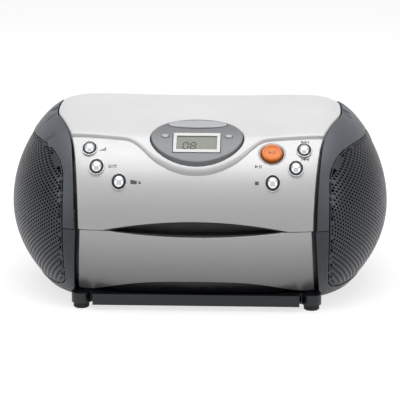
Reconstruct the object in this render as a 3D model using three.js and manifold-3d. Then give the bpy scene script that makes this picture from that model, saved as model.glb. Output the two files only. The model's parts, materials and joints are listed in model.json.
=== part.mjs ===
// Portable CD player and radio with two domed speaker sides, in millimetres.
// +Z is up, -Y is the front, and the origin is under the middle of the feet.
import * as THREE from 'three';
import { mergeVertices } from 'three/addons/utils/BufferGeometryUtils.js';
import Module from 'manifold-3d';

const wasm = await Module();
wasm.setup();

// ---- housing envelope -------------------------------------------------------
const HALF_WIDTH = 150;
const WAIST_Z = 67;
const BASE_Z = 6.5;
const REAR_Y = 92.5;
const DOME = { y: -15, front: 127, rear: 170, up: 120, down: 106 };
const BAND = { y: -5, front: 109.1, rear: 108.3, up: 83, down: 105, rearDown: 200, rearPower: 1.85 };
const EDGE_BLEND = 8;
const RIDGE_DIP = 2.4;
const DIP_HALF_WIDTH = 95;
const OUTSIDE = { rings: [11, 22, 31, 38, 43, 48, 54, 64, 90], meridians: 44 };
const INSIDE = { rings: [20, 35, 45, 60, 90], meridians: 24 };
const SIMPLIFY = 0.05;
const WELD = 1e-3;
const SHORT_EDGE = 0.013;

// ---- clearances and walls ---------------------------------------------------
const GAP = 0.3;
const SEAM_GAP = 0.3;
const WALL = 2.6;
const PANEL_INSET = 1.8;
const PANEL_INNER = 3.4;
const CHASSIS_OUTER = PANEL_INNER + GAP;
const CHASSIS_INNER = CHASSIS_OUTER + 2.2;
const CHASSIS_REAR_Y = -44;
const CHANNEL_FRONT = 3.2;
const CHANNEL_TOP = 1.2;
const LOWER_BAND = { waistHalf: 88.5, floorHalf: 92, bottom: 12 };
const LID_GAP = 0.6;

// ---- grilles and speakers ---------------------------------------------------
const GRILLE = { x: 102.5, bottom: 13.5, top: 124, topRadius: 20, bottomRadius: 9 };
const GRILLE_REAR = { y: 22, topRadius: 42, bottomRadius: 30 };
const GRILLE_FIT = 0.7;
const GRILLE_SKIN = [0.4, 2.0];
const TAB = 3.6;
const TAB_DEPTH = [2.3, 4.3];
const SLOT_ROWS = 6;
const SLOT = { height: 5.2, length: 46, firstZ: 28, pitch: 16.4, firstTurn: 61, stepTurn: 25 };
const SPEAKER = { x: 117, y: -52, flange: 36, hole: 32.5, depth: 24, turn: 0.85 };

// ---- controls ---------------------------------------------------------------
const BUTTON = { halfX: 5.1, halfSlope: 6.0, rise: 2.3, travel: 0.9, fit: 0.45, stem: 8.2 };
const PLAY_RADIUS = 7.8;
const BUTTON_PLACES = {
  bass_boost_button: [-82.4, -80.6],
  play_mode_button: [-76.2, -93.3],
  folder_up_button: [-58.6, -101],
  next_button: [82.4, -80.6],
  back_button: [76.2, -93.3],
  stop_button: [58.6, -101],
};
const PLAY_PLACE = [57.8, -83.7];
const POD = { y: -73, halfX: 35.4, halfY: 20.8, proud: 1.5, fit: 1.0 };
const LCD = { y: -79.3, width: 36, height: 19.5, window: [31, 14], depth: 2.2 };
const RELEASE = { y: -59.4, halfX: 22.7, halfY: 4.8, rise: 0.8, pocket: 3.2, travel: 0.8 };
const LAMP = { x: 24.4, y: -72.8, halfX: 2.7, halfY: 1.7 };

// ---- front slot, plinth and feet --------------------------------------------
const MOUTH = { half: 70.5, z: 67.4, up: 7.2, down: 5.1, floorY: -101 };
const PLINTH = { half: 80, wing: 96, front: -92, rear: 82, bottom: 4.4, top: 13.2 };
const BAR = { front: -100.5, rear: -88 };
const TOWER = { radius: 7.6, inner: 81.5, rear: -84, top: 12.6 };
const FOOT = { x: 89.4, front: -90.5, rear: 72, pad: 6.2, edge: 0.8, height: 4.1, spigot: 3.5, reach: 1.6 };

// ---- disc compartment and mechanism -----------------------------------------
const DISC = { y: 23.5, well: 63, floorZ: 99.5, deckZ: 97, rimZ: 106 };
const HINGE = { y: 92.9, z: 96.8, radius: 2.2, pin: 1.0 };
const EAR_SPANS = [[35, 43.5], [62.5, 71]];
const LID_REAR_Z = 98;
const SLED = { x: -27, travel: 28, low: 88.4 };
const FEED_X = -38;
const ROD = { radius: 1.5, offset: 20, z: 91 };
const GEAR = { module: 0.8, feedTeeth: 30, smallTeeth: 12, motorTeeth: 10, backlash: 0.22 };

// ---- handle, antenna and side controls --------------------------------------
const HANDLE = {
  x: 118, width: 7, pivotY: 30, pivotZ: 118, barY: 106.4, barZ: 97, bar: 5.2, arm: 5.4, pin: 2.0,
};
const ANTENNA = { x: 106, y: 98.2, z: 78, radii: [2.2, 1.65, 1.1], length: 150 };
const KNOB = { y: 56, z: 84, radius: 12.5, rise: 3.4, sunk: 5.4, fit: 0.5 };
const SWITCH = { y: 62, z: 44, length: 9, height: 5, travel: 3.5 };
const BAY = { half: 60, bottom: 14, top: 60, front: 36, wall: 1.6 };
const INLET = { x: -88, z: 36, width: 13, height: 8.6, pin: 4.2, hole: 3.9 };
const BOARD_Z = 15;
const BOARD_THICK = 1.6;

// ---- finishes ---------------------------------------------------------------
const FINISH = {
  white: [0xeceae6, 0.35, 0.0],
  silver: [0xc9cbcd, 0.32, 0.55],
  grey: [0x6d7378, 0.5, 0.0],
  slate: [0x363d43, 0.5, 0.0],
  black: [0x16191c, 0.6, 0.0],
  grille: [0x2a2e31, 0.45, 0.5],
  chrome: [0xe6e8ea, 0.08, 1.0],
  orange: [0xee7a28, 0.35, 0.0],
  pod: [0x85888a, 0.4, 0.2],
  frame: [0xdfe1e0, 0.4, 0.0],
  glass: [0x8d9387, 0.12, 0.0],
  lamp: [0xd8d8d4, 0.3, 0.0],
  rubber: [0x1a1a1b, 0.85, 0.0],
  steel: [0xb4b7ba, 0.3, 0.95],
  board: [0x2d6a45, 0.6, 0.0],
  cone: [0x202124, 0.8, 0.0],
  ferrite: [0x2b2b2e, 0.7, 0.1],
  gear: [0xe9e4d6, 0.5, 0.0],
  copper: [0xa9743f, 0.45, 0.6],
  optic: [0x4d5fa8, 0.05, 0.2],
};

// ---- solids and frames ------------------------------------------------------
function solidOf(geometry, weld = WELD) {
  geometry.deleteAttribute('normal');
  geometry.deleteAttribute('uv');
  const merged = mergeVertices(geometry, weld);
  const source = merged.index.array;
  const faces = [];
  for (let i = 0; i < source.length; i += 3) {
    const [a, b, c] = [source[i], source[i + 1], source[i + 2]];
    if (a !== b && b !== c && a !== c) faces.push(a, b, c);
  }
  const vertProperties = new Float32Array(merged.attributes.position.array);
  if (signedVolume(vertProperties, faces) < 0) faces.reverse();
  return new wasm.Manifold(new wasm.Mesh({ numProp: 3, vertProperties, triVerts: new Uint32Array(faces) }));
}

function signedVolume(points, faces) {
  const at = (i) => new THREE.Vector3(points[3 * i], points[3 * i + 1], points[3 * i + 2]);
  let total = 0;
  for (let i = 0; i < faces.length; i += 3) {
    total += at(faces[i]).dot(at(faces[i + 1]).cross(at(faces[i + 2])));
  }
  return total;
}

function geometryOf(solid) {
  const data = solid.getMesh();
  const geometry = new THREE.BufferGeometry();
  geometry.setAttribute('position', new THREE.BufferAttribute(new Float32Array(data.vertProperties), 3));
  return geometry.setIndex(new THREE.BufferAttribute(new Uint32Array(data.triVerts), 1));
}

// Welds the solid's vertices and keeps its one main body, without slivers that touch it at a corner.
function mainBody(solid) {
  let main = solid.simplify(SIMPLIFY);
  for (let pass = 0; pass < 3; pass += 1) {
    const bodiesFound = solidOf(geometryOf(main), pass ? WELD : SHORT_EDGE).decompose();
    main = bodiesFound.sort((a, b) => b.volume() - a.volume())[0];
  }
  return main;
}

function meshOf(name, solid, finish) {
  const geometry = geometryOf(mainBody(solid));
  geometry.computeVertexNormals();
  const [color, roughness, metalness] = FINISH[finish];
  const mesh = new THREE.Mesh(geometry, new THREE.MeshStandardMaterial({ color, roughness, metalness }));
  mesh.name = name;
  return mesh;
}

function box(x0, x1, y0, y1, z0, z1) {
  const geometry = new THREE.BoxGeometry(x1 - x0, y1 - y0, z1 - z0);
  geometry.translate((x0 + x1) / 2, (y0 + y1) / 2, (z0 + z1) / 2);
  return solidOf(geometry);
}

function rod(radius, from, to, segments = 14) {
  const start = new THREE.Vector3(...from);
  const along = new THREE.Vector3(...to).sub(start);
  const geometry = new THREE.CylinderGeometry(radius, radius, along.length(), segments);
  geometry.translate(0, along.length() / 2, 0);
  const up = new THREE.Vector3(0, 1, 0);
  const turn = new THREE.Quaternion().setFromUnitVectors(up, along.clone().normalize());
  geometry.applyQuaternion(turn);
  geometry.translate(...from);
  return solidOf(geometry);
}

// Turned piece about local Z from [radius, height] pairs.
function turned(profile, segments = 24) {
  const geometry = new THREE.LatheGeometry(profile.map(([r, h]) => new THREE.Vector2(r, h)), segments);
  geometry.rotateX(Math.PI / 2);
  return solidOf(geometry);
}

const PLANES = {
  plan: [[1, 0, 0], [0, 1, 0], [0, 0, 1]],
  side: [[0, 1, 0], [0, 0, 1], [1, 0, 0]],
  front: [[1, 0, 0], [0, 0, 1], [0, -1, 0]],
};

// Straight prism of an outline drawn in the plan (XY), side (YZ) or front (XZ) view.
function prism(view, outline, from, to, curveSegments = 6) {
  const drawn = (points) => new THREE.Shape(points.map(([u, v]) => new THREE.Vector2(u, v)));
  const shape = Array.isArray(outline) ? drawn(outline) : outline;
  const geometry = new THREE.ExtrudeGeometry(shape, { depth: to - from, bevelEnabled: false, curveSegments });
  geometry.translate(0, 0, from);
  const basis = PLANES[view].map((axis) => new THREE.Vector3(...axis));
  geometry.applyMatrix4(new THREE.Matrix4().makeBasis(...basis));
  return solidOf(geometry);
}

function placed(solid, matrix) {
  return solid.transform(matrix.elements);
}

function mirrored(solid) {
  return solid.mirror([1, 0, 0]);
}

function union(parts) {
  return parts.reduce((sum, part) => sum.add(part));
}

function bothSides(solid) {
  return solid.add(mirrored(solid));
}

// ---- envelope ---------------------------------------------------------------
function shapeLevel(x, y, z, inset) {
  const dz = z - WAIST_Z;
  const domeY = (y < DOME.y ? DOME.front : DOME.rear) - inset;
  const domeZ = (dz > 0 ? DOME.up : DOME.down) - inset;
  const dome = (x / (HALF_WIDTH - inset)) ** 2 + ((y - DOME.y) / domeY) ** 2 + (dz / domeZ) ** 2;
  const dy = y - BAND.y;
  const front = dy < 0;
  const bandZ = (dz > 0 ? BAND.up : front ? BAND.down : BAND.rearDown) - inset;
  const reach = Math.abs(dy) / ((front ? BAND.front : BAND.rear) - inset);
  const band = reach ** (front ? 2 : BAND.rearPower) + (dz / bandZ) ** 2;
  return dome ** EDGE_BLEND + band ** EDGE_BLEND;
}

function surfacePoint(direction, inset) {
  let near = 0;
  let far = 400;
  for (let step = 0; step < 40; step += 1) {
    const r = (near + far) / 2;
    const [x, y, z] = [direction.x * r, BAND.y + direction.y * r, WAIST_Z + direction.z * r];
    if (shapeLevel(x, y, z, inset) < 1) near = r;
    else far = r;
  }
  const point = direction.clone().multiplyScalar(near).add(new THREE.Vector3(0, BAND.y, WAIST_Z));
  const across = Math.max(0, 1 - (point.x / DIP_HALF_WIDTH) ** 2);
  point.z -= RIDGE_DIP * across * THREE.MathUtils.smoothstep(point.z, 118, 150);
  return point;
}

// Hidden inner layers share one coarser net, so their gaps to each other stay exact.
function envelope(inset) {
  const net = inset > PANEL_INSET ? INSIDE : OUTSIDE;
  const rings = [...net.rings, ...net.rings.slice(0, -1).reverse().map((degrees) => 180 - degrees)];
  const points = [surfacePoint(new THREE.Vector3(1, 0, 0), inset)];
  for (const degrees of rings) {
    const phi = THREE.MathUtils.degToRad(degrees);
    for (let j = 0; j < net.meridians; j += 1) {
      const turn = (2 * Math.PI * j) / net.meridians;
      const around = Math.sin(phi);
      const direction = new THREE.Vector3(Math.cos(phi), around * Math.cos(turn), around * Math.sin(turn));
      points.push(surfacePoint(direction, inset));
    }
  }
  points.push(surfacePoint(new THREE.Vector3(-1, 0, 0), inset));
  const geometry = new THREE.BufferGeometry().setFromPoints(points);
  geometry.setIndex(ringFaces(rings.length, net.meridians));
  return solidOf(geometry);
}

function ringFaces(rings, meridians) {
  const faces = [];
  const at = (ring, j) => 1 + ring * meridians + (j % meridians);
  const last = 1 + rings * meridians;
  for (let j = 0; j < meridians; j += 1) {
    faces.push(0, at(0, j), at(0, j + 1));
    for (let ring = 0; ring < rings - 1; ring += 1) {
      faces.push(at(ring, j), at(ring + 1, j), at(ring + 1, j + 1));
      faces.push(at(ring, j), at(ring + 1, j + 1), at(ring, j + 1));
    }
    faces.push(at(rings - 1, j), last, at(rings - 1, j + 1));
  }
  return faces;
}

const bodies = new Map();
function body(inset) {
  if (!bodies.has(inset)) {
    const room = box(-200, 200, -200, REAR_Y - inset, BASE_Z + inset, 200);
    bodies.set(inset, envelope(inset).intersect(room));
  }
  return bodies.get(inset);
}

function layer(outer, inner) {
  return body(outer).subtract(body(inner));
}

// Local frame on the middle band's skin: Z out of the surface, Y up the slope.
function skinFrame(x, y, inset = PANEL_INSET) {
  const reach = BAND.front - inset;
  const rise = BAND.up - inset;
  const cosine = (BAND.y - y) / reach;
  const sine = Math.sqrt(1 - cosine * cosine);
  const along = new THREE.Vector3(0, reach * sine, rise * cosine).normalize();
  const out = new THREE.Vector3(1, 0, 0).cross(along);
  const matrix = new THREE.Matrix4().makeBasis(new THREE.Vector3(1, 0, 0), along, out);
  const dip = RIDGE_DIP * Math.max(0, 1 - (x / DIP_HALF_WIDTH) ** 2);
  const z = WAIST_Z + rise * sine;
  return matrix.setPosition(x, y, z - dip * THREE.MathUtils.smoothstep(z, 118, 150));
}

// ---- plan outlines of the middle band ---------------------------------------
const BAND_EDGE = [
  [88.6, -118], [89, -112], [91.8, -94], [95.8, -72], [101, -58], [105.4, -47],
  [109.6, -36], [111, -24], [111, -4], [109.4, 14], [104.2, 38], [101.5, 58], [99, 96],
];
const LID_EDGE = [
  [112, -64], [96, -67.3], [79, -70], [62, -71.9], [51.5, -73.7], [44.5, -78.6], [37, -85.6], [29, -91],
  [18, -95.2], [7, -97.1], [0, -97.4],
];

// Bottom edge of the lower front panel, as half width and height.
const LOWER_EDGE = [[0, 24.4], [33, 23.7], [52, 21.5], [66, 18.6], [79.5, 15.4], [90, 14.3], [120, 13.2]];

function curvePoints(points, count) {
  return new THREE.SplineCurve(points.map(([x, y]) => new THREE.Vector2(x, y))).getPoints(count);
}

function channelWidth(y) {
  const [front, top] = [-110, -60];
  const place = THREE.MathUtils.clamp(y, front, top);
  return THREE.MathUtils.mapLinear(place, front, top, CHANNEL_FRONT, CHANNEL_TOP);
}

// Prism of the middle band in plan; `channel` from 0 (panel edge) to 1 (trim edge).
function bandPrism(channel, extra, zFrom, zTo) {
  const right = curvePoints(BAND_EDGE, 26).map((p) => [p.x + channel * channelWidth(p.y) + extra, p.y]);
  const left = right.map(([x, y]) => [-x, y]).reverse();
  return prism('plan', [...right, ...left], zFrom, zTo);
}

// Prism behind the lid's front edge, moved forward by `shift`.
function behindLidEdge(shift) {
  const right = curvePoints(LID_EDGE, 22).map((p) => [p.x, p.y - shift]);
  const left = right.slice(0, -1).reverse().map(([x, y]) => [-x, y]);
  const start = right[0][1];
  return prism('plan', [...right, ...left, [-200, start], [-200, 120], [200, 120], [200, start]], 90, 200);
}

// Front band below the waist, tapered, and widened by `grow` on each side.
function lowerBand(grow) {
  const top = LOWER_BAND.waistHalf + grow;
  const foot = LOWER_BAND.floorHalf + grow;
  return prism('front', [[-foot, 0], [foot, 0], [top, WAIST_Z], [-top, WAIST_Z]], 60, 200);
}

function upperHalf() {
  return box(-200, 200, -200, 200, WAIST_Z + SEAM_GAP / 2, 220);
}

function lowerHalf() {
  return box(-200, 200, -200, 200, -10, WAIST_Z - SEAM_GAP / 2);
}

// ---- grille region ----------------------------------------------------------
function grilleRegion(grow) {
  const front = new THREE.Shape();
  const x = GRILLE.x - grow;
  const top = GRILLE.top + grow;
  const low = GRILLE.bottom - grow;
  const topRadius = GRILLE.topRadius + grow;
  const lowRadius = GRILLE.bottomRadius + grow;
  front.moveTo(x, low + lowRadius);
  front.absarc(x + lowRadius, low + lowRadius, lowRadius, Math.PI, 1.5 * Math.PI, false);
  front.lineTo(170, low);
  front.lineTo(170, top);
  front.absarc(x + topRadius, top - topRadius, topRadius, 0.5 * Math.PI, Math.PI, false);
  const side = new THREE.Shape();
  const rear = GRILLE_REAR.y + grow;
  const upper = GRILLE_REAR.topRadius + grow;
  const under = GRILLE_REAR.bottomRadius + grow;
  const [floor, ceiling] = [low - 0.4, top + 0.4];
  side.moveTo(-160, floor);
  side.lineTo(rear - under, floor);
  side.absarc(rear - under, floor + under, under, 1.5 * Math.PI, 2 * Math.PI, false);
  side.absarc(rear - upper, ceiling - upper, upper, 0, 0.5 * Math.PI, false);
  side.lineTo(-160, ceiling);
  return prism('front', front, -60, 140).intersect(prism('side', side, 90, 180));
}

function grilleSlots() {
  const cuts = [];
  for (let row = 0; row < SLOT_ROWS; row += 1) {
    const z = SLOT.firstZ + row * SLOT.pitch;
    const last = row === SLOT_ROWS - 1;
    for (let j = 0; j < (last ? 2 : 3); j += 1) {
      const turn = SLOT.firstTurn + j * SLOT.stepTurn;
      const cut = box(-SLOT.length / 2, SLOT.length / 2, -170, -60, -SLOT.height / 2, SLOT.height / 2);
      cuts.push(cut.rotate([0, 0, turn]).translate([0, DOME.y, z]));
    }
  }
  return union(cuts);
}

function grille() {
  const skin = layer(...GRILLE_SKIN).intersect(grilleRegion(0));
  return skin.subtract(grilleSlots());
}

// Tabs on the shell that the grille's rim rests on.
function grilleTabs() {
  const { x, top, bottom } = GRILLE;
  const rear = GRILLE_REAR.y;
  const spans = [
    box(x - 4, x + TAB, -125, -70, 40, 52), box(x - 4, x + TAB, -125, -70, 86, 98),
    box(122, 134, -60, 0, top - TAB, top + 4), box(118, 130, -55, -10, bottom - 4, bottom + TAB),
    box(118, 150, rear - TAB, rear + 4, 44, 56), box(118, 150, rear - TAB, rear + 4, 74, 82),
  ];
  return layer(...TAB_DEPTH).intersect(union(spans));
}

// ---- speakers ---------------------------------------------------------------
// Local frame of the right speaker: Z along its axis, out through the grille.
function speakerFrame() {
  const out = new THREE.Vector3(Math.sin(SPEAKER.turn), -Math.cos(SPEAKER.turn), 0);
  const up = new THREE.Vector3(0, 0, 1);
  const side = up.clone().cross(out);
  return new THREE.Matrix4().makeBasis(side, up, out).setPosition(SPEAKER.x, SPEAKER.y, WAIST_Z);
}

function baffle() {
  const hole = rod(SPEAKER.hole + 0.5, [0, 0, -10], [0, 0, 10], 32);
  const plate = box(-70, 70, -70, 70, -2.2, -0.2).subtract(hole);
  const grilleRoom = grilleRegion(GRILLE_FIT + 0.1).subtract(body(TAB_DEPTH[0] + 0.1));
  return placed(plate, speakerFrame()).intersect(body(WALL - 0.6)).intersect(box(95, 200, -200, 200, 0, 200))
    .subtract(grilleRoom);
}

function speakerBasket() {
  const { flange, hole, depth } = SPEAKER;
  const profile = [
    [0, -depth - 15], [18, -depth - 15], [18, -depth - 3], [13, -depth - 3], [hole, -4],
    [hole, 0.1], [flange, 0.1], [flange, 1.7], [hole - 1.5, 1.7], [hole - 1.5, -3.5],
    [11, -depth - 1], [0, -depth - 1],
  ];
  return placed(turned(profile, 18), speakerFrame());
}

function speakerCone() {
  const { hole, depth } = SPEAKER;
  const outer = hole - 1.9;
  const profile = [
    [0, -depth + 9.2], [10.4, -depth + 4.4], [outer - 5, -2.6],
    [outer - 3, -0.8], [outer, -2.4], [outer, -1.2],
    [outer - 3, 0.6], [outer - 5.6, -1.6], [11, -depth + 6], [6.4, -depth + 9.4], [0, -depth + 10.6],
  ];
  return placed(turned(profile, 18), speakerFrame());
}

// ---- handle -----------------------------------------------------------------
function armAngle() {
  return Math.atan2(HANDLE.barZ - HANDLE.pivotZ, HANDLE.barY - HANDLE.pivotY);
}

function capsule(radius, from, to) {
  const angle = Math.atan2(to[1] - from[1], to[0] - from[0]);
  const shape = new THREE.Shape();
  shape.absarc(to[0], to[1], radius, angle - Math.PI / 2, angle + Math.PI / 2, false);
  shape.absarc(from[0], from[1], radius, angle + Math.PI / 2, angle + 1.5 * Math.PI, false);
  return shape;
}

function handle() {
  const pivot = [HANDLE.pivotY, HANDLE.pivotZ];
  const end = [HANDLE.barY, HANDLE.barZ];
  const x0 = HANDLE.x - HANDLE.width / 2;
  const arm = prism('side', capsule(HANDLE.arm, pivot, end), x0, x0 + HANDLE.width);
  const bore = rod(HANDLE.pin + 0.05, [x0 - 1, ...pivot], [x0 + HANDLE.width + 1, ...pivot]);
  const bar = rod(HANDLE.bar, [-x0 - 1, ...end], [x0 + 1, ...end], 24);
  return bothSides(arm.subtract(bore)).add(bar);
}

function handleBlock() {
  const pivot = [HANDLE.pivotY, HANDLE.pivotZ];
  const x0 = HANDLE.x - HANDLE.width / 2 - 0.6 - 2.4;
  const x1 = HANDLE.x + HANDLE.width / 2 + 0.6 + 2.4;
  const around = capsule(HANDLE.arm + 3.2, pivot, [HANDLE.barY, HANDLE.barZ]);
  return prism('side', around, x0, x1).intersect(body(0));
}

function handleGroove() {
  const pivot = [HANDLE.pivotY, HANDLE.pivotZ];
  const x0 = HANDLE.x - HANDLE.width / 2 - 0.6;
  const x1 = HANDLE.x + HANDLE.width / 2 + 0.6;
  const radius = HANDLE.arm + 0.8;
  const end = [HANDLE.barY + 20, HANDLE.barZ + 20 * Math.tan(armAngle())];
  const rest = prism('side', capsule(radius, pivot, end), x0, x1);
  const angle = armAngle();
  const above = [
    [pivot[0] - radius, pivot[1]], [pivot[0] + radius * Math.sin(angle), pivot[1] - radius * Math.cos(angle)],
    [130, pivot[1] + (130 - pivot[0]) * Math.tan(angle)], [130, 170], [pivot[0] - radius, 170],
  ];
  return rest.add(prism('side', above, x0, x1));
}

function handlePivots() {
  const pivot = [HANDLE.pivotY, HANDLE.pivotZ];
  const reach = HANDLE.width / 2 + 1.4;
  return bothSides(rod(HANDLE.pin, [HANDLE.x - reach, ...pivot], [HANDLE.x + reach, ...pivot]));
}

// ---- side knobs and switches --------------------------------------------------
function domeFrame(y, z) {
  const dz = z - WAIST_Z;
  const up = dz > 0 ? DOME.up : DOME.down;
  let x = HALF_WIDTH;
  while (shapeLevel(x, y, z, 0) > 1) x -= 0.02;
  const out = new THREE.Vector3(x / HALF_WIDTH ** 2, (y - DOME.y) / DOME.rear ** 2, dz / up ** 2).normalize();
  const along = new THREE.Vector3(0, 1, 0).addScaledVector(out, -out.y).normalize();
  const basis = new THREE.Matrix4().makeBasis(along, out.clone().cross(along), out);
  return basis.setPosition(x, y, z);
}

function knobHousing() {
  const plug = rod(KNOB.radius + KNOB.fit + 1.8, [0, 0, -KNOB.sunk - 2.4], [0, 0, 10], 28);
  return placed(plug, domeFrame(KNOB.y, KNOB.z)).intersect(body(0));
}

function knobPocket() {
  const well = rod(KNOB.radius + KNOB.fit, [0, 0, -KNOB.sunk - GAP], [0, 0, 20], 28);
  return placed(well, domeFrame(KNOB.y, KNOB.z));
}

function knob() {
  const teeth = 18;
  const shape = [];
  for (let i = 0; i < teeth * 2; i += 1) {
    const radius = i % 2 ? KNOB.radius : KNOB.radius - 0.9;
    const turn = (Math.PI * i) / teeth;
    shape.push([radius * Math.cos(turn), radius * Math.sin(turn)]);
  }
  const grip = prism('plan', shape, -KNOB.sunk, KNOB.rise);
  const { rise } = KNOB;
  const dish = turned([[0, rise - 0.9], [8.2, rise - 0.9], [9.2, rise + 1], [0, rise + 1]], 24);
  return placed(grip.subtract(dish), domeFrame(KNOB.y, KNOB.z));
}

function switchSlot(grow, low, high) {
  const half = SWITCH.length / 2 + (grow > 0 ? SWITCH.travel : 0) + grow;
  return box(-half, half, -SWITCH.height / 2 - grow, SWITCH.height / 2 + grow, low, high);
}

function switchHousing() {
  return placed(switchSlot(2.2, -6.5, 8), domeFrame(SWITCH.y, SWITCH.z)).intersect(body(0));
}

function switchPocket() {
  return placed(switchSlot(GAP, -4.6, 12), domeFrame(SWITCH.y, SWITCH.z));
}

function slider() {
  const block = switchSlot(0, -4.3, 0.9);
  const notch = rod(1.1, [0, -10, 1.5], [0, 10, 1.5], 12);
  return placed(block.subtract(notch), domeFrame(SWITCH.y, SWITCH.z));
}

// ---- shells -----------------------------------------------------------------
function shellStock() {
  const rebate = bandPrism(1, 3, 70, 200).intersect(box(-200, 200, -200, 200, LID_REAR_Z - 1, 200));
  const cavity = body(CHASSIS_INNER).add(body(WALL).subtract(rebate));
  return body(0).subtract(cavity);
}

function speakerSideAdditions() {
  return bothSides(grilleTabs().add(baffle()));
}

function upperShell() {
  const lidRoom = bandPrism(1, 0, LID_REAR_Z - 0.6, 200).subtract(body(CHASSIS_OUTER));
  const frontRoom = bandPrism(1, 0, 60, 200).intersect(box(-200, 200, -200, CHASSIS_REAR_Y + GAP, 60, 200));
  const wellRoom = box(-103.5, 103.5, -60, 80.5, DISC.deckZ - 6, 200);
  const rearRoom = box(-103.5, 103.5, 80, 89.9, 60, LID_REAR_Z + 30);
  let shell = shellStock();
  shell = shell.subtract(bothSides(grilleRegion(GRILLE_FIT))).add(speakerSideAdditions());
  shell = shell.add(bothSides(handleBlock().add(knobHousing())));
  shell = shell.subtract(lidRoom).subtract(frontRoom).subtract(wellRoom.add(rearRoom).intersect(body(WALL)));
  shell = shell.intersect(upperHalf());
  shell = shell.subtract(bothSides(handleGroove())).subtract(bothSides(knobPocket()));
  return shell.add(handlePivots()).add(hingeEars()).add(antennaBoss()).subtract(hingeBore());
}

function lowerShell() {
  const frontRoom = lowerBand(CHANNEL_FRONT).intersect(box(-200, 200, -200, -60, LOWER_BAND.bottom, 80));
  let shell = shellStock();
  shell = shell.subtract(bothSides(grilleRegion(GRILLE_FIT))).add(speakerSideAdditions());
  shell = shell.add(bothSides(switchHousing())).subtract(frontRoom);
  shell = shell.intersect(lowerHalf()).subtract(bothSides(switchPocket()));
  shell = shell.add(batteryBox()).add(floorPosts());
  return shell.subtract(batteryMouth()).subtract(inletMouth()).subtract(jackMouth());
}

function batteryBox() {
  const w = BAY.wall;
  return box(-BAY.half - w, BAY.half + w, BAY.front - w, REAR_Y - 1, BAY.bottom - w, BAY.top + w);
}

function batteryMouth() {
  const bay = box(-BAY.half, BAY.half, BAY.front, REAR_Y + 5, BAY.bottom, BAY.top);
  const door = box(-BAY.half - 4, BAY.half + 4, REAR_Y - 1.9, REAR_Y + 5, BAY.bottom - 3.6, BAY.top + 3.2);
  return bay.add(door);
}

function batteryDoor() {
  const plate = box(-BAY.half - 3.7, BAY.half + 3.7, REAR_Y - 1.6, REAR_Y, BAY.bottom - 3.3, BAY.top + 2.9);
  const ribs = [];
  for (let i = -2; i <= 2; i += 1) {
    const low = 50 + i * 2.4;
    ribs.push(box(-14, 14, REAR_Y - 0.5, REAR_Y + 0.7, low, low + 1.1));
  }
  const half = BAY.half - 0.5;
  const plug = box(-half, half, REAR_Y - 5, REAR_Y - 1.4, BAY.bottom + 0.5, BAY.bottom + 3);
  return union([plate, plug, ...ribs]);
}

function floorPosts() {
  const posts = [];
  for (const [x, y] of [[2, -52], [78, -52], [2, 6], [78, 6]]) {
    posts.push(rod(3, [x, y, BASE_Z + 1], [x, y, BOARD_Z - GAP], 12));
  }
  return union(posts);
}

// ---- front panels, chassis and slot -----------------------------------------
function mouthPrism(shrink, from, to) {
  const half = MOUTH.half - 2.4 * shrink;
  const up = [];
  const down = [];
  for (let i = 0; i <= 16; i += 1) {
    const u = i / 8 - 1;
    const bow = 1 - u * u;
    up.push([half * u, MOUTH.z + (MOUTH.up - shrink) * bow]);
    if (i > 0 && i < 16) down.push([-half * u, MOUTH.z - (MOUTH.down - shrink) * bow]);
  }
  return prism('front', [...up, ...down], -to, -from);
}

function buttonHoles(grow, low, high) {
  const small = turned([[0, low], [1, low], [1, high], [0, high]], 18);
  const cuts = Object.values(BUTTON_PLACES).map(([x, y]) => {
    const cut = small.scale([BUTTON.halfX + grow, BUTTON.halfSlope + grow, 1]);
    return placed(cut, skinFrame(x, y));
  });
  cuts.push(placed(rod(PLAY_RADIUS + grow, [0, 0, low], [0, 0, high], 26), skinFrame(...PLAY_PLACE)));
  return union(cuts);
}

function upperFrontPanel() {
  const skin = layer(PANEL_INSET, PANEL_INNER).intersect(bandPrism(0, 0, 60, 200))
    .intersect(box(-200, 200, -200, -60, WAIST_Z + SEAM_GAP / 2, 200));
  const lidRoom = behindLidEdge(LID_GAP).intersect(box(-200, 200, -200, 200, 90, 200));
  const dish = turned([[0, -0.9], [9.6, -0.9], [11.6, 0.6], [0, 0.6]], 32);
  return skin.subtract(lidRoom).subtract(mouthPrism(0, -130, -95)).subtract(buttonHoles(BUTTON.fit, -6, 8))
    .subtract(placed(dish, skinFrame(...PLAY_PLACE)));
}

function lowerFrontPanel() {
  const skin = layer(PANEL_INSET, PANEL_INNER).intersect(lowerBand(0)).intersect(lowerHalf());
  const right = curvePoints(LOWER_EDGE, 14).map((p) => [p.x, p.y]);
  const left = right.slice(1).map(([x, z]) => [-x, z]);
  const below = prism('front', [[-120, 0], ...left.reverse(), ...right, [120, 0]], 50, 140);
  return skin.subtract(below).subtract(mouthPrism(0, -130, -95));
}

function frontChassis() {
  const skin = layer(CHASSIS_OUTER, CHASSIS_INNER);
  const above = bandPrism(1, -GAP, WAIST_Z, 200);
  const below = lowerBand(CHANNEL_FRONT - GAP);
  const reach = box(-200, 200, -200, CHASSIS_REAR_Y, LOWER_BAND.bottom + GAP, 200);
  return skin.intersect(above.add(below)).intersect(reach).subtract(mouthPrism(0, -130, -95))
    .subtract(buttonHoles(BUTTON.fit, -8, 8));
}

function slotInsert() {
  const stock = mouthPrism(GAP + 0.1, -125, MOUTH.floorY + 1.6).intersect(body(PANEL_INSET + 0.4));
  return stock.subtract(mouthPrism(1.6, -130, MOUTH.floorY));
}

// ---- lid, display pod and its pieces ----------------------------------------
function podPrism(grow) {
  const disc = rod(1, [0, 0, 95], [0, 0, 170], 40);
  return disc.scale([POD.halfX + grow, POD.halfY + grow, 1]).translate([0, POD.y, 0]);
}

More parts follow.
